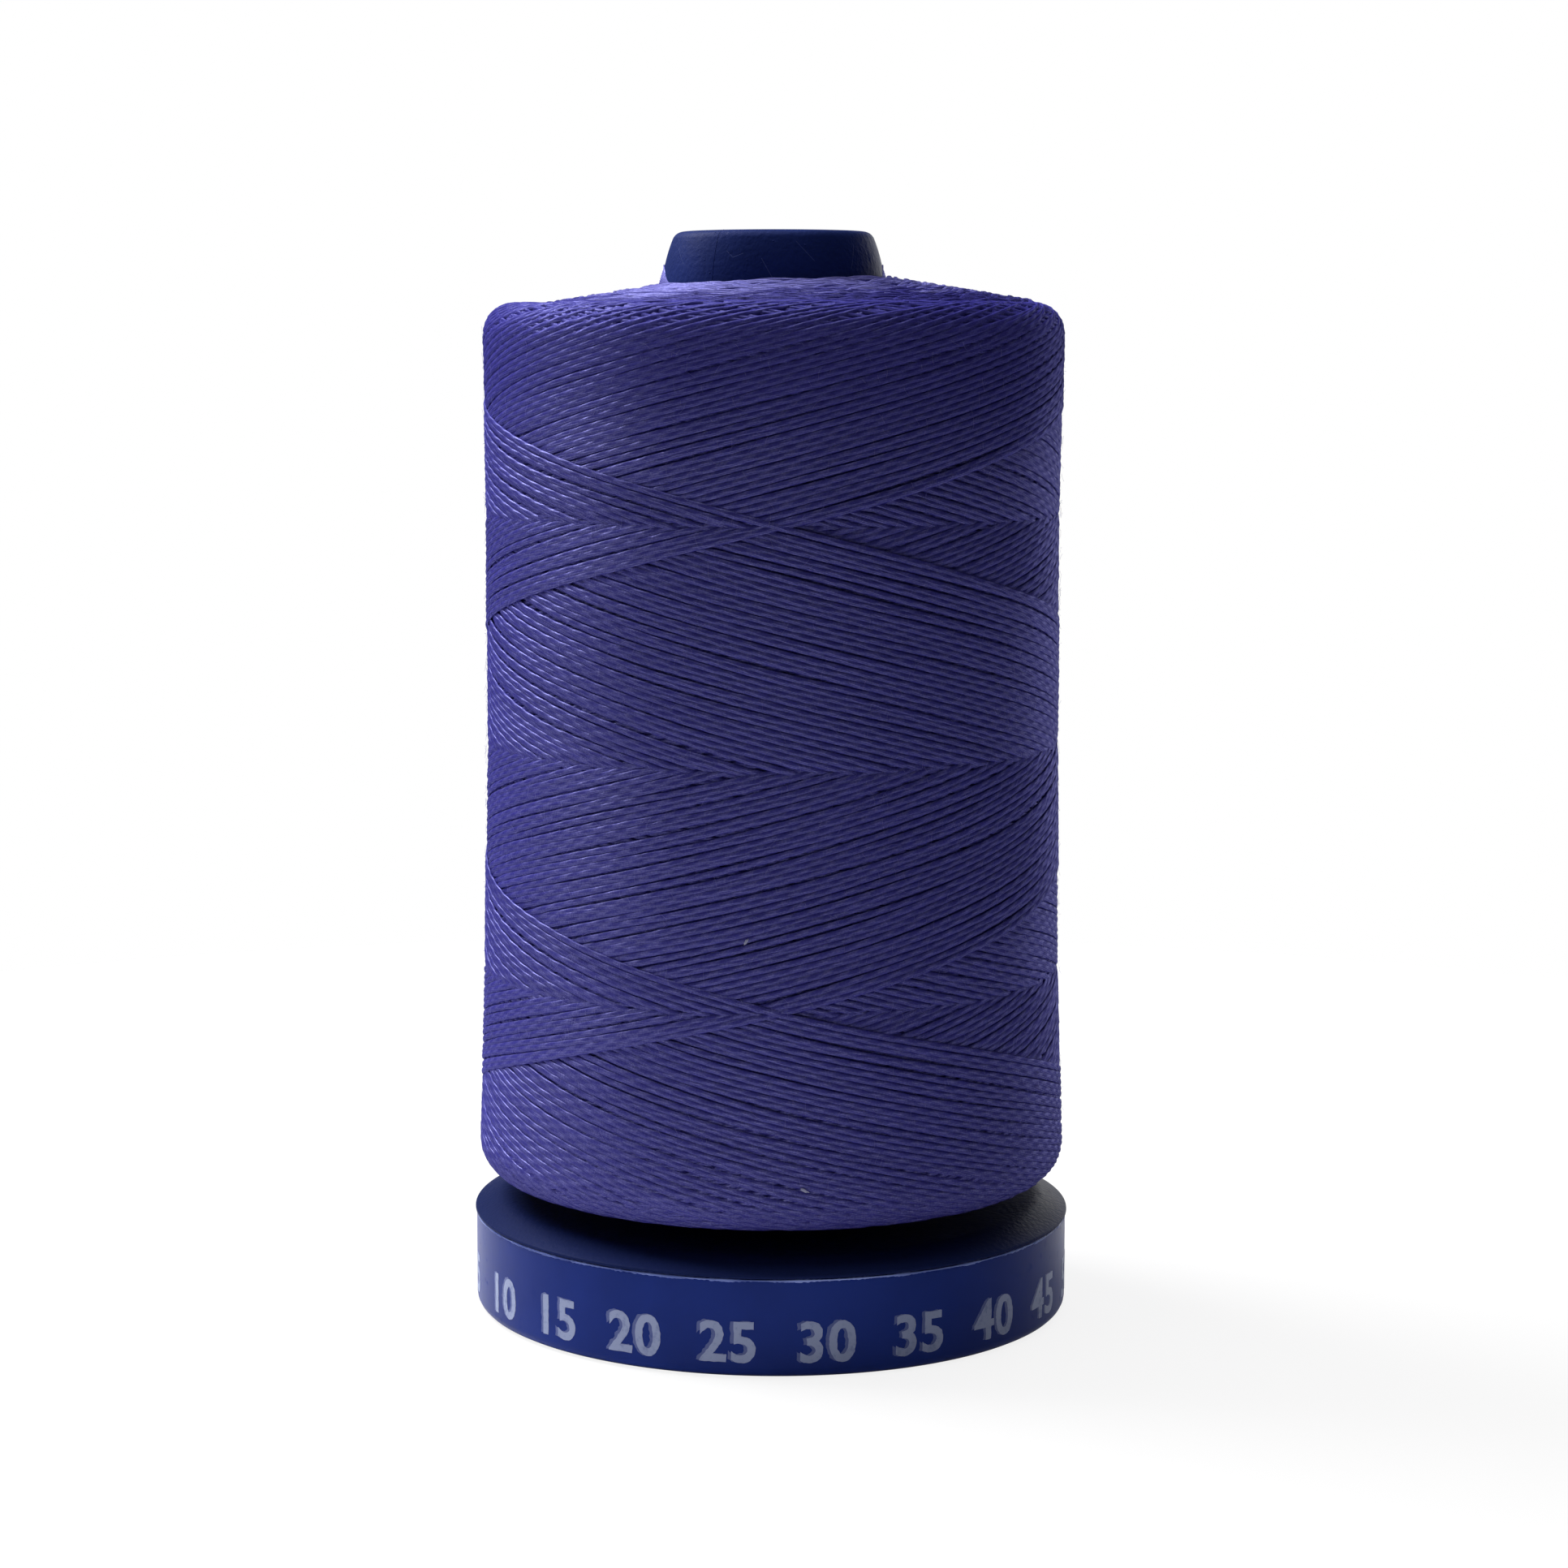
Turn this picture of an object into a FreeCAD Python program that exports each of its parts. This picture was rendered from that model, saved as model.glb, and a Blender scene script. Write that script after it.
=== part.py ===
import FreeCAD
import Part
import math
import os

from FreeCAD import Vector

# Spool of sewing thread with a clip-in base. Millimetres, +Z up, origin on the table under the axis.
# The spool and its thread slide up 3 mm on the base's hub, which opens the seam for the thread's tail.

# Heights above the table.
FLOOR_LOW = 1.2
FLOOR_HIGH = 2.4
BAND_TOP = 7.42
DISC_LOW = 7.52
DISC_HIGH = 8.72
PACKAGE_LOW = 8.76
NOSE_TOP = 84.1

# The spool's moulding: barrel, nose, pin collar and flange disc.
BARREL_R = 8.65
BARREL_BORE_R = 7.35
BARREL_LOW = 3.9
PIN_BORE_R = 4.5
PIN_COLLAR_R = 5.8
NOSE_BORE_LENGTH = 8.0
PIN_COUNTERSINK = 0.4
NOSE_EDGE_RADIUS = 0.9
NOSE_SIDE_RADIUS = 12.0
NOSE_SIDE_TILT = 22.0
NOSE_ROOF = 1.3
DISC_R = 23.5
DISC_EDGE_RADIUS = 1.0
DISC_RIBS = 6
DISC_RIB_LOW = 4.8
NOSE_WEBS = 4
NOSE_WEB_STEP = 1.0
RIB_THICK = 0.9

# The collar under the disc, which the thread's tail is wound round.
TAIL_COLLAR_R = 21.0
TAIL_COLLAR_WALL = 1.2
TAIL_COLLAR_LOW = 4.2

# The base's moulding: band, foot rim, floor and hub.
BAND_R = 23.4
BAND_WALL = 1.4
FOOT_FILLET = 0.8
FOOT_RIM_IN = 21.6
BAND_EDGE_CHAMFER = 0.15
HUB_R = 7.29
HUB_SLEEVE_BORE_R = 6.0
HUB_TOP = 20.0
BASE_BORE_LENGTH = 6.0
BASE_RIB_HIGH = 3.4

# The snap: tongues cut in the hub's sleeve, whose barbs run in a recess in the barrel's bore.
TRAVEL = 3.0
TONGUES = 4
TONGUE_LOW = 11.0
TONGUE_SWEEP = 36.0
TONGUE_SLOT = 0.8
BARB_R = 7.75
BARB_LOW = 17.0
BARB_FLAT = 0.4
BARB_HIGH = 19.4
RECESS_R = 7.95
RECESS_HIGH = 19.6
SNAP_CLEARANCE = 0.1

# The keys on the hub, in keyways in the barrel's bore, that keep the base from turning.
KEY_WIDTH = 2.0
KEY_R = 7.75
KEY_HIGH = 10.5
KEY_ANGLES = (45.0, 225.0)
KEYWAY_CLEARANCE = 0.08

# The wound thread. Its side has a slight waist, nearest to the axis at WAIST_Z.
WAIST_R = 22.38
WAIST_Z = 57.3
WAIST_CURVE = 1316.0
SIDE_LOW = 13.2
SIDE_HIGH = 76.2
LOW_SHOULDER = 2.6
HIGH_SHOULDER = 2.4
DOME_TOP = 80.35
CORE_CLEARANCE = 0.02

# The outer layer of turns, one tube that lies in a channel between the two shoulders.
TURNS = 24
TURN_D = 2.05
TURN_SPACE = 0.3
CORE_GAP = 0.08
CHANNEL_STEPS = 6
START_ANGLE = 200.0
TUCK_LENGTH = 5.0

# How far a rib or barb is sunk in the wall that carries it, and how far a cut passes a face.
SUNK = 0.2
OVERCUT = 1.0

# The label under the floor.
LABEL_R_IN = 7.0
LABEL_R_OUT = 20.5
LABEL_THICK = 0.15


def package_radius(z):
    """Outside radius of the wound thread at height z, along its waisted side."""
    return WAIST_R + (z - WAIST_Z) ** 2 / (2 * WAIST_CURVE)


def turned(start, *steps, sweep=360):
    """Solid turned about the Z axis from an outline of (radius, z) points.
    A step is (end,) for a straight line, or (middle, end) for an arc; a last line closes the outline."""
    edges = []
    here = Vector(start[0], 0, start[1])
    for step in steps + ((start,),):
        stops = [Vector(r, 0, z) for r, z in step]
        if stops[-1].distanceToPoint(here) < 1e-7:
            continue
        if len(stops) == 2:
            edges.append(Part.Arc(here, *stops).toShape())
        else:
            edges.append(Part.LineSegment(here, stops[0]).toShape())
        here = stops[-1]
    face = Part.Face(Part.Wire(edges))
    return face.revolve(Vector(0, 0, 0), Vector(0, 0, 1), sweep)


def corner(centre, radius, start_angle, end_angle):
    """An arc step for turned(): its middle and end, for angles in degrees from the radial direction."""
    angles = ((start_angle + end_angle) / 2, end_angle)
    return tuple(
        (
            centre[0] + radius * math.cos(math.radians(a)),
            centre[1] + radius * math.sin(math.radians(a)),
        )
        for a in angles
    )


def radial_bar(r_in, r_out, width, z_low, z_high, angle):
    """Upright bar across the radius at an angle in degrees, as for a rib, a key or a slot."""
    bar = Part.makeBox(r_out - r_in, width, z_high - z_low, Vector(r_in, -width / 2, z_low))
    return bar.rotate(Vector(0, 0, 0), Vector(0, 0, 1), angle)


def radial_bars(count, *sizes, first=0.0):
    """Evenly spaced radial bars."""
    return [radial_bar(*sizes, first + 360 * i / count) for i in range(count)]


def spool_barrel():
    """Barrel, nose, pin collar, flange disc and tail collar, moulded in one."""
    tilt = math.radians(NOSE_SIDE_TILT)
    centres_apart = NOSE_SIDE_RADIUS - NOSE_EDGE_RADIUS
    edge_z = NOSE_TOP - NOSE_EDGE_RADIUS
    side_centre = (BARREL_R - NOSE_SIDE_RADIUS, edge_z - centres_apart * math.sin(tilt))
    edge_centre = (side_centre[0] + centres_apart * math.cos(tilt), edge_z)
    inner_radius = NOSE_SIDE_RADIUS - (BARREL_R - BARREL_BORE_R)
    roof_low = NOSE_TOP - NOSE_ROOF
    roof_angle = math.degrees(math.asin((roof_low - side_centre[1]) / inner_radius))
    bore_low = NOSE_TOP - PIN_COUNTERSINK - NOSE_BORE_LENGTH
    recess_low = BARB_LOW - TRAVEL - SNAP_CLEARANCE
    body = turned(
        (PIN_BORE_R, NOSE_TOP - PIN_COUNTERSINK),
        ((PIN_BORE_R + PIN_COUNTERSINK, NOSE_TOP),),
        ((edge_centre[0], NOSE_TOP),),
        corner(edge_centre, NOSE_EDGE_RADIUS, 90, NOSE_SIDE_TILT),
        corner(side_centre, NOSE_SIDE_RADIUS, NOSE_SIDE_TILT, 0),
        ((BARREL_R, DISC_HIGH),),
        ((DISC_R - DISC_EDGE_RADIUS, DISC_HIGH),),
        corner((DISC_R - DISC_EDGE_RADIUS, DISC_HIGH - DISC_EDGE_RADIUS), DISC_EDGE_RADIUS, 90, 0),
        ((DISC_R - BAND_EDGE_CHAMFER, DISC_LOW),),
        ((TAIL_COLLAR_R, DISC_LOW),),
        ((TAIL_COLLAR_R, TAIL_COLLAR_LOW),),
        ((TAIL_COLLAR_R - TAIL_COLLAR_WALL, TAIL_COLLAR_LOW),),
        ((TAIL_COLLAR_R - TAIL_COLLAR_WALL, DISC_LOW),),
        ((BARREL_R, DISC_LOW),),
        ((BARREL_R, BARREL_LOW),),
        ((BARREL_BORE_R, BARREL_LOW),),
        ((BARREL_BORE_R, recess_low),),
        ((RECESS_R, recess_low),),
        ((RECESS_R, RECESS_HIGH),),
        ((BARREL_BORE_R, RECESS_HIGH + RECESS_R - BARREL_BORE_R),),
        ((BARREL_BORE_R, side_centre[1]),),
        corner(side_centre, inner_radius, 0, roof_angle),
        ((PIN_COLLAR_R, roof_low),),
        ((PIN_COLLAR_R, bore_low),),
        ((PIN_BORE_R, bore_low),),
    )
    ribs = radial_bars(
        DISC_RIBS,
        BARREL_R - SUNK,
        TAIL_COLLAR_R - TAIL_COLLAR_WALL + SUNK,
        RIB_THICK,
        DISC_RIB_LOW,
        DISC_LOW + SUNK,
    )
    webs = radial_bars(
        NOSE_WEBS,
        PIN_COLLAR_R - SUNK,
        BARREL_BORE_R + SUNK,
        RIB_THICK,
        bore_low + NOSE_WEB_STEP,
        roof_low + SUNK,
    )
    keyways = [
        radial_bar(
            BARREL_BORE_R - OVERCUT,
            KEY_R + KEYWAY_CLEARANCE,
            KEY_WIDTH + 2 * KEYWAY_CLEARANCE,
            BARREL_LOW - OVERCUT,
            recess_low + SUNK,
            angle,
        )
        for angle in KEY_ANGLES
    ]
    return body.fuse(ribs + webs).cut(keyways).removeSplitter()


def tail_lock_base():
    """Band, foot rim, floor and hub, moulded in one, with the snap tongues and the keys."""
    band_in = BAND_R - BAND_WALL
    bush_top = FLOOR_LOW + PIN_COUNTERSINK + BASE_BORE_LENGTH
    body = turned(
        (band_in, BAND_TOP),
        ((BAND_R - BAND_EDGE_CHAMFER, BAND_TOP),),
        ((BAND_R, BAND_TOP - BAND_EDGE_CHAMFER),),
        ((BAND_R, FOOT_FILLET),),
        corner((BAND_R - FOOT_FILLET, FOOT_FILLET), FOOT_FILLET, 0, -90),
        ((FOOT_RIM_IN, 0),),
        ((FOOT_RIM_IN - BAND_EDGE_CHAMFER, FLOOR_LOW),),
        ((PIN_BORE_R + PIN_COUNTERSINK, FLOOR_LOW),),
        ((PIN_BORE_R, FLOOR_LOW + PIN_COUNTERSINK),),
        ((PIN_BORE_R, bush_top),),
        ((HUB_SLEEVE_BORE_R, bush_top),),
        ((HUB_SLEEVE_BORE_R, HUB_TOP),),
        ((HUB_R - PIN_COUNTERSINK, HUB_TOP),),
        ((HUB_R, HUB_TOP - PIN_COUNTERSINK),),
        ((HUB_R, FLOOR_HIGH),),
        ((band_in, FLOOR_HIGH),),
    )
    ribs = radial_bars(
        DISC_RIBS,
        HUB_R - SUNK,
        band_in + SUNK,
        RIB_THICK,
        FLOOR_HIGH - SUNK,
        BASE_RIB_HIGH,
    )
    keys = [
        radial_bar(HUB_R - SUNK, KEY_R, KEY_WIDTH, FLOOR_HIGH - SUNK, KEY_HIGH, angle)
        for angle in KEY_ANGLES
    ]
    barbs = [barb(360 * i / TONGUES) for i in range(TONGUES)]
    slots = []
    for side in (-1, 1):
        slots += radial_bars(
            TONGUES,
            HUB_SLEEVE_BORE_R - OVERCUT,
            BARB_R + OVERCUT,
            TONGUE_SLOT,
            TONGUE_LOW,
            HUB_TOP + OVERCUT,
            first=side * TONGUE_SWEEP / 2,
        )
    return body.fuse(ribs + keys + barbs).cut(slots).removeSplitter()


def barb(angle):
    """Barb outside one snap tongue: flat underneath, ramped above."""
    ramp = turned(
        (HUB_R - SUNK, BARB_LOW),
        ((BARB_R, BARB_LOW),),
        ((BARB_R, BARB_LOW + BARB_FLAT),),
        ((HUB_R, BARB_HIGH),),
        ((HUB_R - SUNK, BARB_HIGH),),
        sweep=TONGUE_SWEEP,
    )
    return ramp.rotate(Vector(0, 0, 0), Vector(0, 0, 1), angle - TONGUE_SWEEP / 2)


def turn_heights():
    """Heights of the tube's centreline where the outer layer of turns starts and ends."""
    return SIDE_LOW + TURN_SPACE + TURN_D / 2, SIDE_HIGH - TURN_SPACE - TURN_D / 2


def turn_radius(z):
    """Radius of the tube's centreline at height z."""
    return package_radius(z) - TURN_D / 2


def thread_package():
    """Wound thread below the outer layer: full shoulders and domed ends, a channel for the turns,
    and at each end of the channel a tuck that the tube's end meets."""
    bore = BARREL_R + CORE_CLEARANCE
    low_r = package_radius(SIDE_LOW)
    high_r = package_radius(SIDE_HIGH)
    depth = TURN_D + CORE_GAP
    rise = (SIDE_HIGH - SIDE_LOW) / CHANNEL_STEPS
    heights = [SIDE_LOW + rise * i for i in range(CHANNEL_STEPS + 1)]
    low_centre = (low_r - LOW_SHOULDER, SIDE_LOW)
    high_centre = (high_r - HIGH_SHOULDER, SIDE_HIGH)
    body = turned(
        (bore, PACKAGE_LOW),
        ((low_centre[0], SIDE_LOW - LOW_SHOULDER),),
        corner(low_centre, LOW_SHOULDER, -90, 0),
        *[((package_radius(z) - depth, z),) for z in heights],
        ((high_r, SIDE_HIGH),),
        corner(high_centre, HIGH_SHOULDER, 0, 90),
        ((bore, DOME_TOP),),
    )
    start_z, end_z = turn_heights()
    tucks = [
        tuck(-TURN_D - TUCK_LENGTH, low_r, SIDE_LOW - SUNK, start_z + TURN_D / 2),
        tuck(TURN_D, high_r, end_z - TURN_D / 2, SIDE_HIGH + SUNK),
    ]
    return body.fuse(tucks).removeSplitter()


def tuck(along, outer_r, z_low, z_high):
    """Block across the channel that starts a distance along the turns from where they start or end."""
    root = outer_r - TURN_D - CORE_GAP - SUNK
    height = z_high - z_low
    block = Part.makeBox(outer_r, TUCK_LENGTH, height, Vector(root, along, z_low))
    rim = Part.makeCylinder(outer_r, height, Vector(0, 0, z_low))
    return block.common(rim).rotate(Vector(0, 0, 0), Vector(0, 0, 1), START_ANGLE)


def around(angle, radius, z):
    """Point and level forward direction on the winding, at an angle in degrees."""
    a = math.radians(angle)
    return (
        Vector(radius * math.cos(a), radius * math.sin(a), z),
        Vector(-math.sin(a), math.cos(a), 0),
    )


def winding_stations():
    """Points and directions along the tube's centreline, every half turn; it starts and ends level."""
    start_z, end_z = turn_heights()
    pitch = (end_z - start_z) / TURNS
    stations = []
    for half in range(2 * TURNS + 1):
        z = start_z + pitch * half / 2
        point, forward = around(START_ANGLE + 180 * half, turn_radius(z), z)
        if 0 < half < 2 * TURNS:
            forward.z = pitch / (2 * math.pi * turn_radius(z))
        stations.append((point, forward.normalize()))
    return stations


def arc_from(start, apex, end):
    """Arc from start to end whose tangents there meet at apex."""
    middle = (start + end) / 2
    half = (end - start).getAngle(apex - start)
    rise = math.tan(half / 2) / math.tan(half)
    return Part.Arc(start, middle + (apex - middle) * rise, end).toShape()


def biarc(start, forward, end, onward):
    """Two arcs that leave start along forward and reach end along onward, smooth where they meet."""
    span = end - start
    both = forward + onward
    turning = 2 * (1 - forward.dot(onward))
    reach = (math.sqrt(span.dot(both) ** 2 + turning * span.dot(span)) - span.dot(both)) / turning
    apexes = start + forward * reach, end - onward * reach
    meeting = (apexes[0] + apexes[1]) / 2
    return [arc_from(start, apexes[0], meeting), arc_from(meeting, apexes[1], end)]


def least_gap(path):
    """Least gap between neighbouring turns of the tube, measured on points along its centreline."""
    per_turn = 120
    half = per_turn // 2
    points = path.discretize(Distance=2 * math.pi * turn_radius(WAIST_Z) / per_turn)
    least = min(
        point.distanceToPoint(other)
        for i, point in enumerate(points)
        for other in points[i + half : i + 3 * half]
    )
    return least - TURN_D


def thread_outer_turns():
    """The outer layer: one tube wound up the channel, straight for one diameter at each end."""
    stations = winding_stations()
    arcs = []
    for (start, forward), (end, onward) in zip(stations, stations[1:]):
        arcs += biarc(start, forward, end, onward)
    start, level = stations[0]
    start_run = Part.LineSegment(start - level * TURN_D, start).toShape()
    end, onward = stations[-1]
    end_run = Part.LineSegment(end, end + onward * TURN_D).toShape()
    path = Part.Wire([start_run, *arcs, end_run])
    section = Part.makeCircle(TURN_D / 2, start - level * TURN_D, level)
    tube = path.makePipeShell([Part.Wire([section])], True, False)
    expected = math.pi * (TURN_D / 2) ** 2 * path.Length
    print("turns", TURNS, "least gap", round(least_gap(path), 3), "mm")
    print("tightest arc", round(min(arc.Curve.Radius for arc in arcs), 2), "mm")
    print("tube volume over section times length", round(tube.Volume / expected, 4))
    return tube


def base_label():
    """Blank ring label stuck to the underside of the floor."""
    low = FLOOR_LOW - LABEL_THICK
    return turned(
        (LABEL_R_IN, low),
        ((LABEL_R_OUT, low),),
        ((LABEL_R_OUT, FLOOR_LOW),),
        ((LABEL_R_IN, FLOOR_LOW),),
    )


PIECES = {
    "spool_barrel": spool_barrel,
    "tail_lock_base": tail_lock_base,
    "thread_package": thread_package,
    "thread_outer_turns": thread_outer_turns,
    "base_label": base_label,
}

os.makedirs("parts", exist_ok=True)
for name, make in PIECES.items():
    shape = make()
    if shape.ShapeType == "Compound" and len(shape.Solids) == 1:
        shape = shape.Solids[0]
    print(name, "valid", shape.isValid(), "solids", len(shape.Solids), "volume", round(shape.Volume, 1))
    shape.exportStep("parts/" + name + ".step")
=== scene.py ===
import math
import random

import bmesh
import bpy
from mathutils import Matrix, Vector, noise


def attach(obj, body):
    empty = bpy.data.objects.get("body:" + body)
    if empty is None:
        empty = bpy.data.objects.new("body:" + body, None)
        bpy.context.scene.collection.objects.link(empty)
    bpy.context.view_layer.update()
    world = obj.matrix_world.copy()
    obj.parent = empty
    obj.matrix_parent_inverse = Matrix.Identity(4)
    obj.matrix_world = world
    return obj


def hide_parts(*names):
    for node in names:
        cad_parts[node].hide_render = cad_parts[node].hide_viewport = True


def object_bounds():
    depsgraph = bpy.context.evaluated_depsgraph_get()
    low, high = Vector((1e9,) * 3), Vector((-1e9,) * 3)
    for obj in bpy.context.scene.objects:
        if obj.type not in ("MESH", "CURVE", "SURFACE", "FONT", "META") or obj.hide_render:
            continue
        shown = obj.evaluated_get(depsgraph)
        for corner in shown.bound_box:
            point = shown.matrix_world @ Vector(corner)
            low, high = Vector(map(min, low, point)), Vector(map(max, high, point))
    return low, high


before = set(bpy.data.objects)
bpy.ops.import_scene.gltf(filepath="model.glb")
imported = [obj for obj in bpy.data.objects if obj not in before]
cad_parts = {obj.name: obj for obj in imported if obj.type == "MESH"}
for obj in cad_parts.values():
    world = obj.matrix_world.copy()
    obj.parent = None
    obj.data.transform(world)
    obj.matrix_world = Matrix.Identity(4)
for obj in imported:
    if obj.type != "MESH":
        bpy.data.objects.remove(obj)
cad_low, cad_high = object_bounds()
scene = bpy.context.scene

# The camera stands about a quarter of a metre in front of the spool, level with the top of the thread,
# and looks a little down. The photograph is cut from a wider frame, so the picture is shifted sideways.
MM = 0.001
PHOTO_SIDE = 1932
FOCAL_PIXELS = 4340
SHIFT_PIXELS = 120
SENSOR_WIDTH = 36.0
CAMERA_PLACE = Vector((-6.7, -275.0, 75.9)) * MM
CAMERA_PITCH = 7.2

camera_data = bpy.data.cameras.new("photo_camera")
camera_data.sensor_width = SENSOR_WIDTH
camera_data.lens = SENSOR_WIDTH * FOCAL_PIXELS / PHOTO_SIDE
camera_data.shift_x = SHIFT_PIXELS / PHOTO_SIDE
camera_data.clip_start = 10 * MM
camera = bpy.data.objects.new("photo_camera", camera_data)
camera.location = CAMERA_PLACE
camera.rotation_euler = (math.radians(90 - CAMERA_PITCH), 0, 0)
scene.collection.objects.link(camera)
scene.camera = camera


# A photographer's table: a round sheet of white paper under the spool, and soft lamps round it. The main
# one is a window high on the left, a little behind, so that the thread shines there and the front is lit
# mostly by the paper. The camera sees the surroundings as white, and shiny surfaces mirror a share of it.
FLOOR_RADIUS = 170 * MM
FLOOR_SIDES = 96
FLOOR_DROP = 0.02 * MM
FLOOR_WHITE = 0.85
FLOOR_MIRRORED_LEFT = 0.22
FLOOR_MIRRORED_RIGHT = 0.4
FLOOR_MIRRORED_FRONT = 0.2
ROOM_MIRRORED = 0.12
ROOM_LIGHT = 0.07
LAMP_AWAY = 450 * MM
WHITE = (1.0, 1.0, 1.0, 1.0)
PAPER = (0.86, 0.86, 0.86, 1.0)


class Signal:
    """An output in a node tree. Arithmetic on it adds Math nodes to the same tree."""

    def __init__(self, tree, socket=None):
        self.tree = tree
        self.socket = socket

    def add(self, kind, settings=None, values=None, output=0):
        """Adds a node: its settings first, then the values or links of its sockets. Gives one output."""
        node = self.tree.nodes.new(kind)
        for name, value in (settings or {}).items():
            setattr(node, name, value)
        for name, value in (values or {}).items():
            if isinstance(value, Signal):
                self.tree.links.new(value.socket, node.inputs[name])
            else:
                node.inputs[name].default_value = value
        return Signal(self.tree, node.outputs[output])

    def other(self, output):
        """Another output of the same node."""
        return Signal(self.tree, self.socket.node.outputs[output])

    def maths(self, operation, *terms):
        values = dict(enumerate((self, *terms)))
        return self.add("ShaderNodeMath", {"operation": operation}, values)

    def __add__(self, term):
        return self.maths("ADD", term)

    def __radd__(self, term):
        return self.maths("ADD", term)

    def __sub__(self, term):
        return self.maths("SUBTRACT", term)

    def __rsub__(self, term):
        return (-self).maths("ADD", term)

    def __mul__(self, term):
        return self.maths("MULTIPLY", term)

    def __rmul__(self, term):
        return self.maths("MULTIPLY", term)

    def __truediv__(self, term):
        return self.maths("DIVIDE", term)

    def __pow__(self, term):
        return self.maths("POWER", term)

    def __mod__(self, term):
        return self.maths("FLOORED_MODULO", term)

    def __neg__(self):
        return self.maths("MULTIPLY", -1.0)

    def __abs__(self):
        return self.maths("ABSOLUTE")

    def least(self, term):
        return self.maths("MINIMUM", term)

    def most(self, term):
        return self.maths("MAXIMUM", term)

    def clip(self, low, high):
        return self.most(low).least(high)

    def eased(self, low, high):
        """0 below low and 1 above high, with a smooth step between them."""
        values = {0: self, 1: low, 2: high, 3: 0.0, 4: 1.0}
        return self.add("ShaderNodeMapRange", {"interpolation_type": "SMOOTHSTEP"}, values)

    def mixed(self, low, high):
        """A colour between two, with this signal as the share of the second."""
        values = {0: self, 6: low, 7: high}
        return self.add("ShaderNodeMix", {"data_type": "RGBA"}, values, output=2)

    def axes(self):
        """The X, Y and Z of a vector."""
        across = self.add("ShaderNodeSeparateXYZ", values={0: self}, output="X")
        return across, across.other("Y"), across.other("Z")

    def vector(self, x=0.0, y=0.0, z=0.0):
        """A vector in this tree, from numbers or signals."""
        return self.add("ShaderNodeCombineXYZ", values={0: x, 1: y, 2: z})

    def round_axis(self, angle, level):
        """The point at this radius, at an angle round the Z axis and at a level."""
        return self.vector(self * angle.maths("COSINE"), self * angle.maths("SINE"), level)

    def noisy(self, scale, detail):
        """Noise at this place, around 0.5."""
        return self.add("ShaderNodeTexNoise", values={"Vector": self, "Scale": scale, "Detail": detail})

    def bumped(self):
        """A normal bent by this height in millimetres."""
        return self.add("ShaderNodeBump", values={"Strength": 1.0, "Distance": MM, "Height": self})

    def kept(self, name, value, domain="POINT"):
        """This geometry, with a value kept on it under a name."""
        values = {"Geometry": self, "Name": name, "Value": value}
        return self.add("GeometryNodeStoreNamedAttribute", {"domain": domain}, values)


def colour(red, green, blue):
    """Linear colour for a shader from the 0 to 255 values that a picture shows."""
    channels = [value / 255 for value in (red, green, blue)]
    linear = [c / 12.92 if c <= 0.04045 else ((c + 0.055) / 1.055) ** 2.4 for c in channels]
    return (*linear, 1.0)


def new_material(name):
    """An empty node material and a start for its tree."""
    material = bpy.data.materials.new(name)
    material.use_nodes = True
    material.node_tree.nodes.clear()
    return material, Signal(material.node_tree)


def placed_material(name):
    """An empty node material, and the place on the object in its tree."""
    material, start = new_material(name)
    return material, start.add("ShaderNodeTexCoord", output="Object")


def surfaced(material, shader):
    """The material, with this shader as its surface."""
    output = material.node_tree.nodes.new("ShaderNodeOutputMaterial")
    material.node_tree.links.new(shader.socket, output.inputs["Surface"])
    return material


def mesh_from(name, shape, smooth=True):
    """Mesh from a finished bmesh."""
    mesh = bpy.data.meshes.new(name)
    shape.to_mesh(mesh)
    shape.free()
    if smooth:
        mesh.shade_smooth()
    return mesh


def add_object(name, data, material=None):
    """New object in the scene, with its material."""
    made = bpy.data.objects.new(name, data)
    scene.collection.objects.link(made)
    if material:
        data.materials.append(material)
    return made


def background_rays(start, mirrored):
    """1 for the camera's rays, and a smaller share for mirrored ones and ones that pass through glass."""
    seen = start.add("ShaderNodeLightPath", output="Is Camera Ray")
    bent = seen.other("Is Glossy Ray").most(seen.other("Is Transmission Ray"))
    return seen.most(bent * mirrored)


def paper_floor():
    """The sheet of paper: lit as paper but seen as white, and mirrored most at the back and the right."""
    shape = bmesh.new()
    bmesh.ops.create_circle(shape, cap_ends=True, radius=FLOOR_RADIUS, segments=FLOOR_SIDES)
    bmesh.ops.translate(shape, verts=shape.verts, vec=(0, 0, -FLOOR_DROP))
    mesh = mesh_from("paper_floor", shape, smooth=False)
    material, place = placed_material("white_paper")
    across, away, _ = place.axes()
    rightwards = across.eased(-60 * MM, 90 * MM) * (FLOOR_MIRRORED_RIGHT - FLOOR_MIRRORED_LEFT)
    behind = away.eased(-70 * MM, 0.0) * (1 - FLOOR_MIRRORED_FRONT) + FLOOR_MIRRORED_FRONT
    seen = background_rays(place, (rightwards + FLOOR_MIRRORED_LEFT) * behind) * FLOOR_WHITE
    lit = place.add("ShaderNodeBsdfDiffuse", values={"Color": PAPER})
    white = place.add("ShaderNodeEmission", values={"Color": WHITE, "Strength": 1.0})
    shown = place.add("ShaderNodeMixShader", values={0: seen, 1: lit, 2: white})
    return add_object("paper_floor", mesh, surfaced(material, shown))


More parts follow.
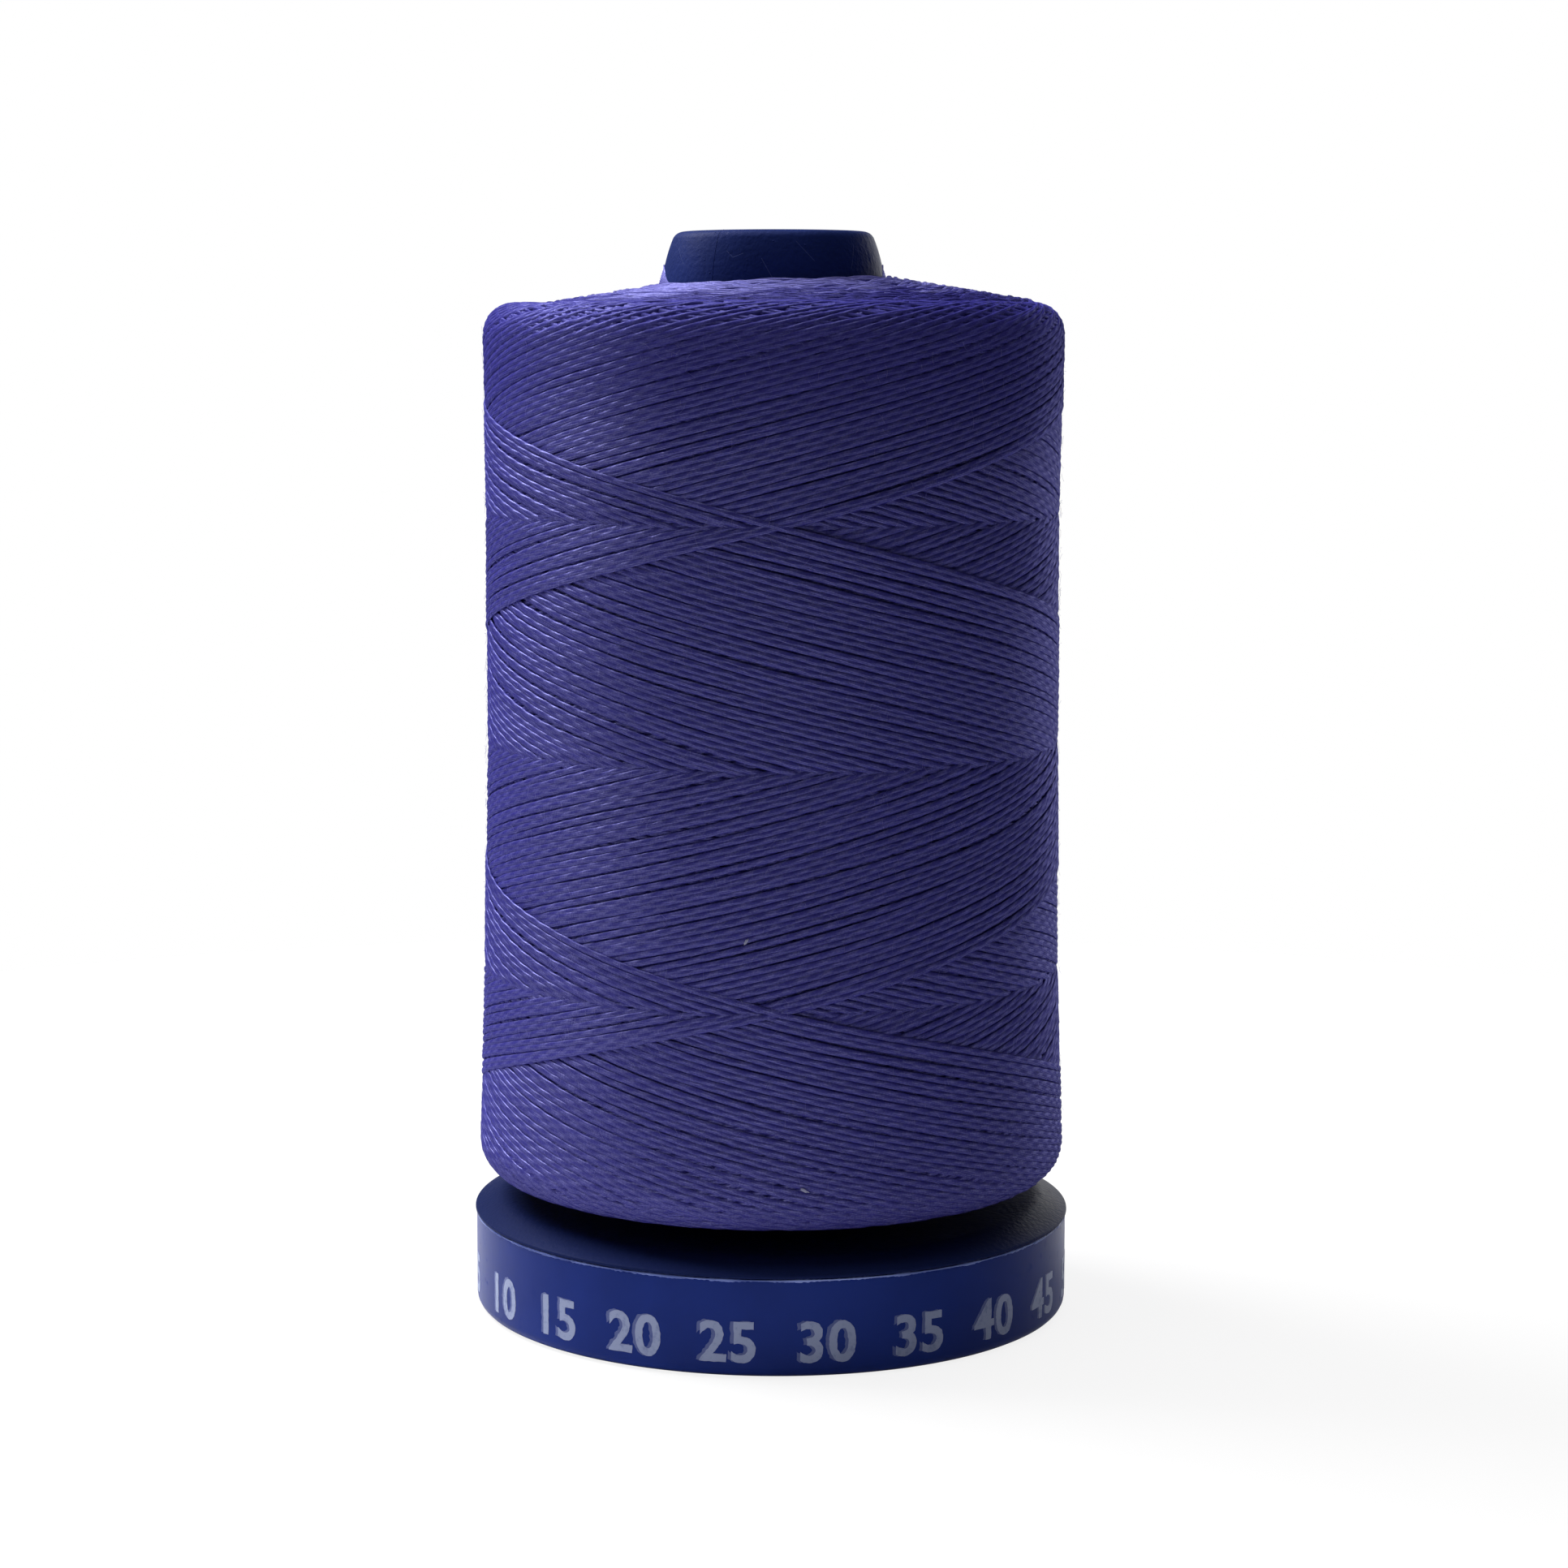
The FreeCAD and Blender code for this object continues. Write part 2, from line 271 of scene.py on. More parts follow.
def pale_room():
    """World: white where it is looked at, partly white where it is mirrored at the back, and else dim."""
    world = bpy.data.worlds.new("pale_room")
    world.use_nodes = True
    tree = world.node_tree
    tree.nodes.clear()
    way = Signal(tree).add("ShaderNodeTexCoord", output="Generated")
    _, away, _ = way.axes()
    seen = background_rays(way, away.eased(-0.25, 0.35) * ROOM_MIRRORED)
    strength = seen + (1 - seen) * ROOM_LIGHT
    lit = way.add("ShaderNodeBackground", values={"Color": WHITE, "Strength": strength})
    output = tree.nodes.new("ShaderNodeOutputWorld")
    tree.links.new(lit.socket, output.inputs["Surface"])
    scene.world = world


def soft_light(name, angle, rise, side, power):
    """Square soft lamp. The angle runs from the front to the left, the rise from the spool's middle up."""
    data = bpy.data.lights.new(name, "AREA")
    data.size = side
    data.energy = power
    lamp = bpy.data.objects.new(name, data)
    turn, lift = math.radians(angle), math.radians(rise)
    level = -math.cos(lift)
    way = Vector((math.sin(turn) * level, math.cos(turn) * level, math.sin(lift)))
    lamp.location = Vector((0, 0, cad_high.z / 2)) + way * LAMP_AWAY
    lamp.rotation_euler = (-way).to_track_quat("-Z", "Y").to_euler()
    scene.collection.objects.link(lamp)


paper_floor()
pale_room()
soft_light("window_light", 120, 47, 260 * MM, 4.3)
soft_light("side_light", 80, 15, 300 * MM, 0.15)
soft_light("top_light", 90, 86, 260 * MM, 1.4)
soft_light("right_light", -148, 4, 300 * MM, 1.0)

scene.view_settings.view_transform = "Standard"


# The base: one blue moulding with an upright band that rests on a rounded foot, a floor, and a hub sleeve
# that clips into the spool. It pulls down a little way to free the thread's tail.
FLOOR_LOW = 1.2 * MM
FLOOR_HIGH = 2.4 * MM
BAND_TOP = 7.42 * MM
BAND_R = 23.4 * MM
BAND_WALL = 1.4 * MM
FOOT_FILLET = 0.8 * MM
FOOT_RIM_IN = 21.6 * MM
HUB_R = 7.29 * MM
SLEEVE_BORE_R = 6.0 * MM
HUB_TOP = 20.0 * MM
PIN_BORE_R = 4.5 * MM
PIN_COUNTERSINK = 0.4 * MM
BASE_BORE_LENGTH = 6.0 * MM
TONGUES = 4
TONGUE_LOW = 11.0 * MM
TONGUE_SWEEP = 36.0
TONGUE_SLOT = 0.8 * MM
BARB_R = 7.75 * MM
BARB_LOW = 17.0 * MM
BARB_HIGH = 19.4 * MM
KEY_WIDTH = 2.0 * MM
KEY_HIGH = 10.5 * MM
KEY_ANGLES = (45.0, 225.0)
RIB_COUNT = 6
RIB_THICK = 0.9 * MM
BASE_RIB_HIGH = 3.4 * MM
SUNK = 0.2 * MM
AROUND_STEPS = 240
SLEEVE_STEPS = 24
CORNER_STEPS = 5


def rounded(*corners):
    """Outline of (radius, height) points from corners of (radius, height, corner radius)."""
    points = []
    count = len(corners)
    for i, (r, z, size) in enumerate(corners):
        here = Vector((r, z))
        before = (Vector(corners[i - 1][:2]) - here).normalized()
        after = (Vector(corners[(i + 1) % count][:2]) - here).normalized()
        half = before.angle(after) / 2
        if size <= 0 or half > math.radians(89):
            points.append(here)
            continue
        reach = size / math.tan(half)
        centre = here + (before + after).normalized() * (size / math.sin(half))
        first = (here + before * reach) - centre
        last = (here + after * reach) - centre
        turn = first.angle_signed(last)
        for step in range(CORNER_STEPS + 1):
            arm = first.copy()
            arm.rotate(Matrix.Rotation(-turn * step / CORNER_STEPS, 2))
            points.append(centre + arm)
    return points


def skinned(name, rings, whole):
    """Closed mesh through rings of points: the last is joined to the first, or both ends are capped."""
    shape = bmesh.new()
    rows = [[shape.verts.new(point) for point in ring] for ring in rings]
    following = rows[1:] + rows[:1] if whole else rows[1:]
    for here, there in zip(rows, following):
        for j in range(len(here)):
            k = (j + 1) % len(here)
            shape.faces.new((here[j], there[j], there[k], here[k]))
    if not whole:
        shape.faces.new(rows[0])
        shape.faces.new(list(reversed(rows[-1])))
    bmesh.ops.recalc_face_normals(shape, faces=shape.faces)
    return mesh_from(name, shape)


def turned_to(angle, outline):
    """Points of (radius, height) as places at an angle round the Z axis."""
    return [(r * math.cos(angle), r * math.sin(angle), z) for r, z in outline]


def turned(name, outline, steps=AROUND_STEPS, start=0.0, sweep=360.0):
    """Closed mesh turned about the Z axis from a closed outline of (radius, height)."""
    whole = sweep >= 360
    angles = [math.radians(start + sweep * i / steps) for i in range(steps if whole else steps + 1)]
    return skinned(name, [turned_to(angle, outline) for angle in angles], whole)


def joined(name, meshes):
    """One mesh from several."""
    shape = bmesh.new()
    for mesh in meshes:
        shape.from_mesh(mesh)
        bpy.data.meshes.remove(mesh)
    return mesh_from(name, shape, smooth=False)


def shade_flats(piece):
    """Large faces keep their own normals beside the small rounded edges."""
    weighted = piece.modifiers.new("flat faces", "WEIGHTED_NORMAL")
    weighted.weight = 80


def geometry_tree(name, counts, sizes):
    """A geometry tree with named inputs: whole numbers, sizes and a material."""
    tree = bpy.data.node_groups.new(name, "GeometryNodeTree")
    tree.interface.new_socket("Geometry", in_out="OUTPUT", socket_type="NodeSocketGeometry")
    kinds = dict.fromkeys(counts, "Int") | dict.fromkeys(sizes, "Float") | {"Material": "Material"}
    for label, kind in kinds.items():
        tree.interface.new_socket(label, in_out="INPUT", socket_type="NodeSocket" + kind)
    source = tree.nodes.new("NodeGroupInput")
    return tree, {label: Signal(tree, source.outputs[label]) for label in kinds}


def end_tree(tree, shape, material):
    """Ends a geometry tree: instances made real, shaded smooth, with its material."""
    real = shape.add("GeometryNodeRealizeInstances", values={0: shape})
    smooth = real.add("GeometryNodeSetShadeSmooth", values={0: real})
    painted = smooth.add("GeometryNodeSetMaterial", values={"Geometry": smooth, "Material": material})
    output = tree.nodes.new("NodeGroupOutput")
    tree.links.new(painted.socket, output.inputs[0])


def grown(name, tree, values):
    """Plain mesh object from a geometry tree with these input values."""
    piece = add_object(name, bpy.data.meshes.new(name))
    modifier = piece.modifiers.new(name, "NODES")
    modifier.node_group = tree
    for item in tree.interface.items_tree:
        if item.in_out == "INPUT":
            modifier[item.identifier] = values[item.name]
    graph = bpy.context.evaluated_depsgraph_get()
    mesh = bpy.data.meshes.new_from_object(
        piece.evaluated_get(graph), preserve_all_data_layers=True, depsgraph=graph
    )
    piece.modifiers.remove(modifier)
    piece.data = mesh
    mesh.name = name
    return piece


def rib_tree():
    """Upright ribs across the radius, evenly spaced round the axis."""
    sizes = ("Inner radius", "Outer radius", "Thickness", "Low", "High", "First angle")
    tree, given = geometry_tree("radial_ribs", ("Count",), sizes)
    inner, outer, thickness, low, high, first_angle = [given[size] for size in sizes]
    size = inner.vector(outer - inner, thickness, high - low)
    place = inner.vector((outer + inner) / 2, z=(high + low) / 2)
    rib = inner.add("GeometryNodeMeshCube", values={"Size": size})
    rib = inner.add("GeometryNodeTransform", values={"Geometry": rib, "Translation": place})
    points = inner.add("GeometryNodePoints", values={"Count": given["Count"]})
    index = inner.add("GeometryNodeInputIndex")
    turn = inner.vector(z=first_angle + index * (2 * math.pi) / given["Count"])
    turn = inner.add("FunctionNodeEulerToRotation", values={0: turn})
    ribs = inner.add(
        "GeometryNodeInstanceOnPoints", values={"Points": points, "Instance": rib, "Rotation": turn}
    )
    end_tree(tree, ribs, given["Material"])
    return tree


ribs = rib_tree()


def radial_ribs(name, material, count, radii, levels, thickness=RIB_THICK, first_angle=0.0):
    """Flat-faced ribs between two radii and two levels."""
    sizes = dict(zip(("Inner radius", "Outer radius", "Low", "High"), (*radii, *levels)))
    sizes |= {"Count": count, "Thickness": thickness, "First angle": first_angle, "Material": material}
    piece = grown(name, ribs, sizes)
    piece.data.shade_flat()
    return piece


FLOW_SCALE = 120.0
WAVE_SCALE = 420.0
RUB_SCALE = 900.0
GRAIN_SCALE = 2600.0
WAVES_DEEP = 0.012
SCRATCH_DEEP = 0.008
SCRATCH_PALE = colour(80, 90, 135)


def moulded_plastic(
    name, body_colour, deep_colour, roughness, shine_level, texture=0.0025, marks=None, painted_shade_below=None
):
    """Polystyrene with faint flow streaks, fine grain, soft waves and a few rubbed spots.

    marks gives the share of scratch at a place; the last argument is a height and a darker colour painted
    below it as painted shade.
    """
    material, place = placed_material(name)
    cloud = place.noisy(FLOW_SCALE, 3.0)
    rubbed = place.noisy(RUB_SCALE, 4.0).eased(0.6, 0.75)
    tint = cloud.eased(0.3, 0.7).mixed(deep_colour, body_colour)
    shine = roughness + (cloud - 0.5) * 0.12 + rubbed * 0.16
    height = place.noisy(WAVE_SCALE, 2.0) * WAVES_DEEP + place.noisy(GRAIN_SCALE, 2.0) * texture
    if marks:
        mark = marks(place)
        tint = (mark * 0.4).mixed(tint, SCRATCH_PALE)
        shine = shine + mark * 0.15
        height = height - mark * SCRATCH_DEEP
    if painted_shade_below:
        top, shade_colour = painted_shade_below
        _, _, level = place.axes()
        tint = level.eased(top - 2 * MM, top).mixed(shade_colour, tint)
    plastic = place.add(
        "ShaderNodeBsdfPrincipled",
        values={
            "Base Color": tint,
            "Roughness": shine,
            "Specular IOR Level": shine_level,
            "Normal": height.bumped(),
        },
    )
    return surfaced(material, plastic)


PLASTIC_BLUE = colour(23, 43, 115)
PLASTIC_DEEP = colour(19, 37, 103)
base_plastic = moulded_plastic(
    "base_blue_plastic", PLASTIC_BLUE, PLASTIC_DEEP, roughness=0.36, shine_level=0.055
)


def base_meshes():
    """The turned parts of the base, the split sleeve's tongues and posts, and their barbs."""
    band_in = BAND_R - BAND_WALL
    rim_high = FLOOR_LOW + PIN_COUNTERSINK
    bush_top = rim_high + BASE_BORE_LENGTH
    body = rounded(
        (band_in, BAND_TOP, 0.2 * MM),
        (BAND_R, BAND_TOP, 0.18 * MM),
        (BAND_R, 0, FOOT_FILLET),
        (FOOT_RIM_IN, 0, 0.25 * MM),
        (FOOT_RIM_IN, FLOOR_LOW, 0.1 * MM),
        (PIN_BORE_R + PIN_COUNTERSINK, FLOOR_LOW, 0.08 * MM),
        (PIN_BORE_R, rim_high, 0.08 * MM),
        (PIN_BORE_R, bush_top, 0.2 * MM),
        (SLEEVE_BORE_R, bush_top, 0.1 * MM),
        (SLEEVE_BORE_R, TONGUE_LOW, 0),
        (HUB_R, TONGUE_LOW, 0),
        (HUB_R, FLOOR_HIGH, 0.3 * MM),
        (band_in, FLOOR_HIGH, 0.3 * MM),
    )
    sleeve = rounded(
        (HUB_R, TONGUE_LOW - SUNK, 0),
        (HUB_R, HUB_TOP, 0.35 * MM),
        (SLEEVE_BORE_R, HUB_TOP, 0.15 * MM),
        (SLEEVE_BORE_R, TONGUE_LOW - SUNK, 0),
    )
    barb = rounded(
        (HUB_R - SUNK, BARB_LOW, 0),
        (BARB_R, BARB_LOW, 0.06 * MM),
        (BARB_R, BARB_LOW + 0.4 * MM, 0.1 * MM),
        (HUB_R - SUNK, BARB_HIGH, 0),
    )
    slot_sweep = math.degrees(TONGUE_SLOT / HUB_R)
    tongue_sweep = TONGUE_SWEEP - slot_sweep
    post_sweep = 360 / TONGUES - TONGUE_SWEEP - slot_sweep
    meshes = [turned("base_body", body)]
    for i in range(TONGUES):
        middle = 360 * i / TONGUES
        for name, outline, centre, sweep in (
            ("tongue", sleeve, middle, tongue_sweep),
            ("post", sleeve, middle + 180 / TONGUES, post_sweep),
            ("barb", barb, middle, tongue_sweep),
        ):
            meshes.append(turned(name, outline, SLEEVE_STEPS, centre - sweep / 2, sweep))
    return meshes


base_body = add_object("base_moulding", joined("base_moulding", base_meshes()), base_plastic)
shade_flats(base_body)
base_ribs = radial_ribs(
    "base_ribs",
    base_plastic,
    RIB_COUNT,
    (HUB_R - SUNK, BAND_R - BAND_WALL + SUNK),
    (FLOOR_HIGH - SUNK, BASE_RIB_HIGH),
)
base_keys = radial_ribs(
    "base_keys",
    base_plastic,
    len(KEY_ANGLES),
    (HUB_R - SUNK, BARB_R),
    (FLOOR_HIGH - SUNK, KEY_HIGH),
    KEY_WIDTH,
    math.radians(KEY_ANGLES[0]),
)
for piece in (base_body, base_ribs, base_keys):
    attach(piece, "base")
    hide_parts("tail_lock_base")


# The flash: where the mould's two halves met, the band's top edge keeps a thin ragged lip of plastic,
# rubbed paler than the rest and painted paler still, as a painted highlight along the lip.
FLASH_WIDTH = 0.15 * MM
FLASH_DEEP = 0.19 * MM
FLASH_PROUD = 0.07 * MM
FLASH_STEPS = 1800
FLASH_MEAN = 0.36
FLASH_SWELL = 1.3
FLASH_TEETH = 0.8
FLASH_BURRS = 1.6
BURR_FROM = 0.2
FLASH_LEAST = 0.03
FLASH_MOST = 1.2
FLASH_LOW = 0.1 * MM
FLASH_HIGH = 0.085 * MM
# The lip's pale colour is partly whitened plastic and partly a painted highlight on its edge.
FLASH_WHITENED_AND_HIGHLIT = colour(128, 143, 200)
FLASH_BLUE_DEEP = colour(26, 46, 117)


def flash_mesh():
    """Thin lip round the band's top edge that swells, thins out and curls over in places."""
    rings = []
    for i in range(FLASH_STEPS):
        angle = 2 * math.pi * i / FLASH_STEPS
        here = Vector((math.cos(angle), math.sin(angle), 0))
        swell = noise.noise(here * 9) * FLASH_SWELL
        tooth = noise.noise(here * 110 + Vector((0, 0, 5))) * FLASH_TEETH
        burr = max(0.0, noise.noise(here * 45 + Vector((0, 0, 9))) - BURR_FROM) * FLASH_BURRS
        ragged = max(FLASH_LEAST, min(FLASH_MOST, FLASH_MEAN + swell + tooth + burr))
        reach = FLASH_PROUD * ragged
        top = min(FLASH_HIGH, 0.02 * MM + 0.06 * MM * ragged)
        section = (
            (BAND_R - FLASH_WIDTH, BAND_TOP - FLASH_LOW),
            (BAND_R - 0.02 * MM, BAND_TOP - FLASH_DEEP * (0.5 + 0.5 * ragged)),
            (BAND_R + reach, BAND_TOP - 0.09 * MM),
            (BAND_R + reach * 0.7, BAND_TOP + top * 0.7),
            (BAND_R - 0.4 * FLASH_WIDTH, BAND_TOP + top),
        )
        rings.append(turned_to(angle, section))
    return skinned("base_flash", rings, True)


base_flash = add_object(
    "base_flash",
    flash_mesh(),
    moulded_plastic("whitened_and_highlit_flash", FLASH_WHITENED_AND_HIGHLIT, FLASH_BLUE_DEEP, roughness=0.42, shine_level=0.08),
)
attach(base_flash, "base")


# The print: plain numbers in pale ink round the band, pressed on by a rubber pad that slipped a little.
# So their edges are ragged, the ink is thin in places and a fainter ghost stands on each one's left.
NUMBER_STEP = 5
NUMBER_COUNT = 20
NUMBER_TALL = 3.1 * MM
NUMBER_LOW = 1.28 * MM
INK_THICK = 0.02 * MM
INK_CUT = 0.35 * MM
FONT_CAP = 0.729
FIRST_NUMBER_ANGLE = 189.0
GHOST_SHIFT = Vector((-0.26, 0.05)) * MM
INK = colour(132, 142, 174)
INK_SPECK_SCALE = 3200.0
INK_PATCH_SCALE = 500.0
INK_SPECK_HIGH = 0.006
LETTER_SPREAD = 1.08
LETTER_BOLD = 0.09 * MM
SHAKE_SEED = 5


def number_mesh(text):
    """A number as a thin flat mesh with its foot on y = 0 and its middle on x = 0, cut up to be bent."""
    words = bpy.data.curves.new("number", "FONT")
    words.body = text
    words.align_x = "CENTER"
    words.size = NUMBER_TALL / FONT_CAP
    words.space_character = LETTER_SPREAD
    words.offset = LETTER_BOLD
    words.extrude = INK_THICK
    carrier = add_object("number", words)
    graph = bpy.context.evaluated_depsgraph_get()
    mesh = bpy.data.meshes.new_from_object(carrier.evaluated_get(graph))
    bpy.data.objects.remove(carrier)
    shape = bmesh.new()
    shape.from_mesh(mesh)
    bmesh.ops.remove_doubles(shape, verts=shape.verts, dist=0.001 * MM)
    for axis in (Vector((1, 0, 0)), Vector((0, 1, 0))):
        reach = max(abs(v.co.dot(axis)) for v in shape.verts)
        for i in range(-int(reach / INK_CUT), int(reach / INK_CUT) + 1):
            everything = shape.verts[:] + shape.edges[:] + shape.faces[:]
            bmesh.ops.bisect_plane(shape, geom=everything, plane_co=axis * (i * INK_CUT), plane_no=axis)
    shape.to_mesh(mesh)
    shape.free()
    return mesh


def printed_numbers(name, shift, ragged, thickness):
    """All the numbers, bent round the band and roughened, as one mesh."""
    noise.seed_set(SHAKE_SEED)
    whole = bmesh.new()
    for i in range(NUMBER_COUNT):
        mesh = number_mesh(str(NUMBER_STEP * (i + 1)))
        middle = math.radians(FIRST_NUMBER_ANGLE + 360 * i / NUMBER_COUNT)
        for vertex in mesh.vertices:
            x, y, z = vertex.co
            shaken = noise.noise_vector(Vector((x / MM * 4, y / MM * 4, i * 7.0 + shift.x / MM)))
            x += shift.x + shaken.x * ragged
            y += shift.y + shaken.y * ragged
            r = BAND_R + z * thickness
            a = middle + x / BAND_R
            vertex.co = (r * math.cos(a), r * math.sin(a), NUMBER_LOW + y)
        whole.from_mesh(mesh)
        bpy.data.meshes.remove(mesh)
    return mesh_from(name, whole, smooth=False)


def pale_ink(name, cover):
    """Pale blue-grey ink, thin enough in spots for the plastic to show through."""
    material, place = placed_material(name)
    specks = place.noisy(INK_SPECK_SCALE, 3.0)
    patches = place.noisy(INK_PATCH_SCALE, 2.0)
    thin = (specks * 0.6 + patches * 0.4).eased(0.5, 0.68)
    tint = ((1 - thin * 0.3) * cover).mixed(PLASTIC_BLUE, INK)
    bump = (specks * INK_SPECK_HIGH).bumped()
    ink = place.add(
        "ShaderNodeBsdfPrincipled",
        values={"Base Color": tint, "Roughness": 0.5 + thin * 0.2, "Normal": bump, "IOR": 1.4},
    )
    return surfaced(material, ink)


for name, shift, ragged, thickness, cover in (
    ("printed_numbers", Vector((0, 0)), 0.05 * MM, 1.0, 0.92),
    ("number_ghosts", GHOST_SHIFT, 0.12 * MM, 0.5, 0.22),
):
    numbers = add_object(name, printed_numbers(name, shift, ragged, thickness), pale_ink(name, cover))
    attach(numbers, "base")


# The label: a blank ring of white paper stuck under the base's floor. It is the CAD solid itself, which
# is carried over and only given its paper here.
LABEL_CLEAN = colour(236, 235, 230)
LABEL_GRIMY = colour(221, 218, 209)
PAPER_FIBRE_SCALE = 1800.0
GRIME_SCALE = 90.0
PAPER_FIBRE_HIGH = 0.02


def label_paper():
    """Matt paper with faint fibres and a little grime."""
    material, place = placed_material("label_paper")
    fibres = place.noisy(PAPER_FIBRE_SCALE, 6.0)
    grime = place.noisy(GRIME_SCALE, 3.0)
    tint = grime.eased(0.45, 0.8).mixed(LABEL_CLEAN, LABEL_GRIMY)
    bump = (fibres * PAPER_FIBRE_HIGH).bumped()
    paper = place.add(
        "ShaderNodeBsdfPrincipled",
        values={"Base Color": tint, "Roughness": 0.8 + (fibres - 0.5) * 0.1, "Normal": bump},
    )
    return surfaced(material, paper)


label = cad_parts["base_label"]
label.data.materials.clear()
label.data.materials.append(label_paper())


# The spool: one navy moulding. The barrel carries the thread; above it a rounded nose holds the collar
# for the machine's pin, and below it a flange disc carries the collar for the thread's tail.
NOSE_TOP = 84.1 * MM
BARREL_R = 8.65 * MM
BARREL_BORE_R = 7.35 * MM
KEYWAY_R = 7.83 * MM
KEYWAY_WIDTH = 2.16 * MM
RECESS_R = 7.95 * MM
RECESS_LOW = 13.9 * MM
RECESS_HIGH = 19.6 * MM
BARREL_LOW = 3.9 * MM
PIN_COLLAR_R = 5.8 * MM
NOSE_BORE_LENGTH = 8.0 * MM
NOSE_EDGE_RADIUS = 0.9 * MM
NOSE_SIDE_RADIUS = 12.0 * MM
NOSE_SIDE_TILT = 22.0
NOSE_ROOF = 1.3 * MM
NOSE_WEBS = 4
DISC_LOW = 7.52 * MM
DISC_HIGH = 8.72 * MM
DISC_R = 23.5 * MM
DISC_SLOPE_WIDE = 2.3 * MM
DISC_EDGE_UPRIGHT = 0.22 * MM
DISC_RIB_LOW = 4.8 * MM
TAIL_COLLAR_R = 21.0 * MM
TAIL_COLLAR_WALL = 1.2 * MM
TAIL_COLLAR_LOW = 4.2 * MM
ARC_STEPS = 14
CORNER = 0.2 * MM
SPOOL_NAVY = colour(27, 40, 92)
SPOOL_DEEP = colour(21, 32, 76)
# Painted shade: below this height the spool moulding is coloured darker, for the thread's shadow on the
# flange disc.
DISC_PAINTED_SHADE = colour(19, 28, 66)
DISC_SHADE_TOP = 18 * MM


def arc_points(centre, radius, start, end, steps=ARC_STEPS):
    """Points of (radius, height) on an arc, for angles in degrees from the radial direction."""
    angles = [math.radians(start + (end - start) * i / steps) for i in range(steps + 1)]
    return [(centre[0] + radius * math.cos(a), centre[1] + radius * math.sin(a)) for a in angles]


nose_tilt = math.radians(NOSE_SIDE_TILT)
nose_reach = NOSE_SIDE_RADIUS - NOSE_EDGE_RADIUS
nose_edge_z = NOSE_TOP - NOSE_EDGE_RADIUS
nose_side_centre = (BARREL_R - NOSE_SIDE_RADIUS, nose_edge_z - nose_reach * math.sin(nose_tilt))
nose_edge_centre = (nose_side_centre[0] + nose_reach * math.cos(nose_tilt), nose_edge_z)


def spool_outline():
    """Outline of the turned spool moulding, from the top of the pin bore outwards and down."""
    roof_low = NOSE_TOP - NOSE_ROOF
    inner_radius = NOSE_SIDE_RADIUS - (BARREL_R - BARREL_BORE_R)
    roof_angle = math.degrees(math.asin((roof_low - nose_side_centre[1]) / inner_radius))
    rim_r = PIN_BORE_R + PIN_COUNTERSINK
    rim_low = NOSE_TOP - PIN_COUNTERSINK
    bore_low = rim_low - NOSE_BORE_LENGTH
    collar_in = TAIL_COLLAR_R - TAIL_COLLAR_WALL
    disc_edge = rounded(
        (DISC_R - 2 * DISC_SLOPE_WIDE, DISC_HIGH, 0),
        (DISC_R - DISC_SLOPE_WIDE, DISC_HIGH, 3.0 * MM),
        (DISC_R, DISC_LOW + DISC_EDGE_UPRIGHT, 0.16 * MM),
        (DISC_R, DISC_LOW, 0.08 * MM),
        (TAIL_COLLAR_R + CORNER, DISC_LOW, 0),
    )
    return [
        (PIN_BORE_R, bore_low + 0.1 * MM),
        (PIN_BORE_R, rim_low - 0.08 * MM),
        (PIN_BORE_R + 0.04 * MM, rim_low + 0.04 * MM),
        (rim_r - 0.05 * MM, NOSE_TOP - 0.05 * MM),
        (rim_r + 0.06 * MM, NOSE_TOP),
        *arc_points(nose_edge_centre, NOSE_EDGE_RADIUS, 90, NOSE_SIDE_TILT),
        *arc_points(nose_side_centre, NOSE_SIDE_RADIUS, NOSE_SIDE_TILT, 0)[1:],
        (BARREL_R, DISC_HIGH + 0.3 * MM),
        (BARREL_R + 0.3 * MM, DISC_HIGH),
        *disc_edge,
        (TAIL_COLLAR_R, DISC_LOW - CORNER),
        (TAIL_COLLAR_R, TAIL_COLLAR_LOW + CORNER),
        (TAIL_COLLAR_R - CORNER, TAIL_COLLAR_LOW),
        (collar_in + CORNER, TAIL_COLLAR_LOW),
        (collar_in, TAIL_COLLAR_LOW + CORNER),
        (collar_in, DISC_LOW),
        (BARREL_R, DISC_LOW),
        (BARREL_R, BARREL_LOW + CORNER),
        (BARREL_R - CORNER, BARREL_LOW),
        (KEYWAY_R + CORNER, BARREL_LOW),
        (KEYWAY_R, BARREL_LOW + CORNER),
        (KEYWAY_R, RECESS_LOW),
        (RECESS_R, RECESS_LOW),
        (RECESS_R, RECESS_HIGH),
        (BARREL_BORE_R, RECESS_HIGH + RECESS_R - BARREL_BORE_R),
        (BARREL_BORE_R, nose_side_centre[1]),
        *arc_points(nose_side_centre, inner_radius, 0, roof_angle)[1:],
        (PIN_COLLAR_R, roof_low),
        (PIN_COLLAR_R, bore_low + 0.1 * MM),
        (PIN_COLLAR_R - 0.1 * MM, bore_low),
        (PIN_BORE_R + 0.1 * MM, bore_low),
    ]


def bore_guides():
    """The thicker wall at the foot of the bore, which leaves two keyways for the base's keys."""
    outline = rounded(
        (KEYWAY_R + SUNK, BARREL_LOW + 0.05 * MM, 0),
        (BARREL_BORE_R, BARREL_LOW + 0.05 * MM, CORNER),
        (BARREL_BORE_R, RECESS_LOW, 0.05 * MM),
        (KEYWAY_R + SUNK / 2, RECESS_LOW, 0),
        (KEYWAY_R + SUNK, RECESS_LOW - SUNK, 0),
    )
    sweep = 180 - math.degrees(KEYWAY_WIDTH / BARREL_BORE_R)
    return [turned("guide", outline, 80, angle + 90 - sweep / 2, sweep) for angle in KEY_ANGLES]


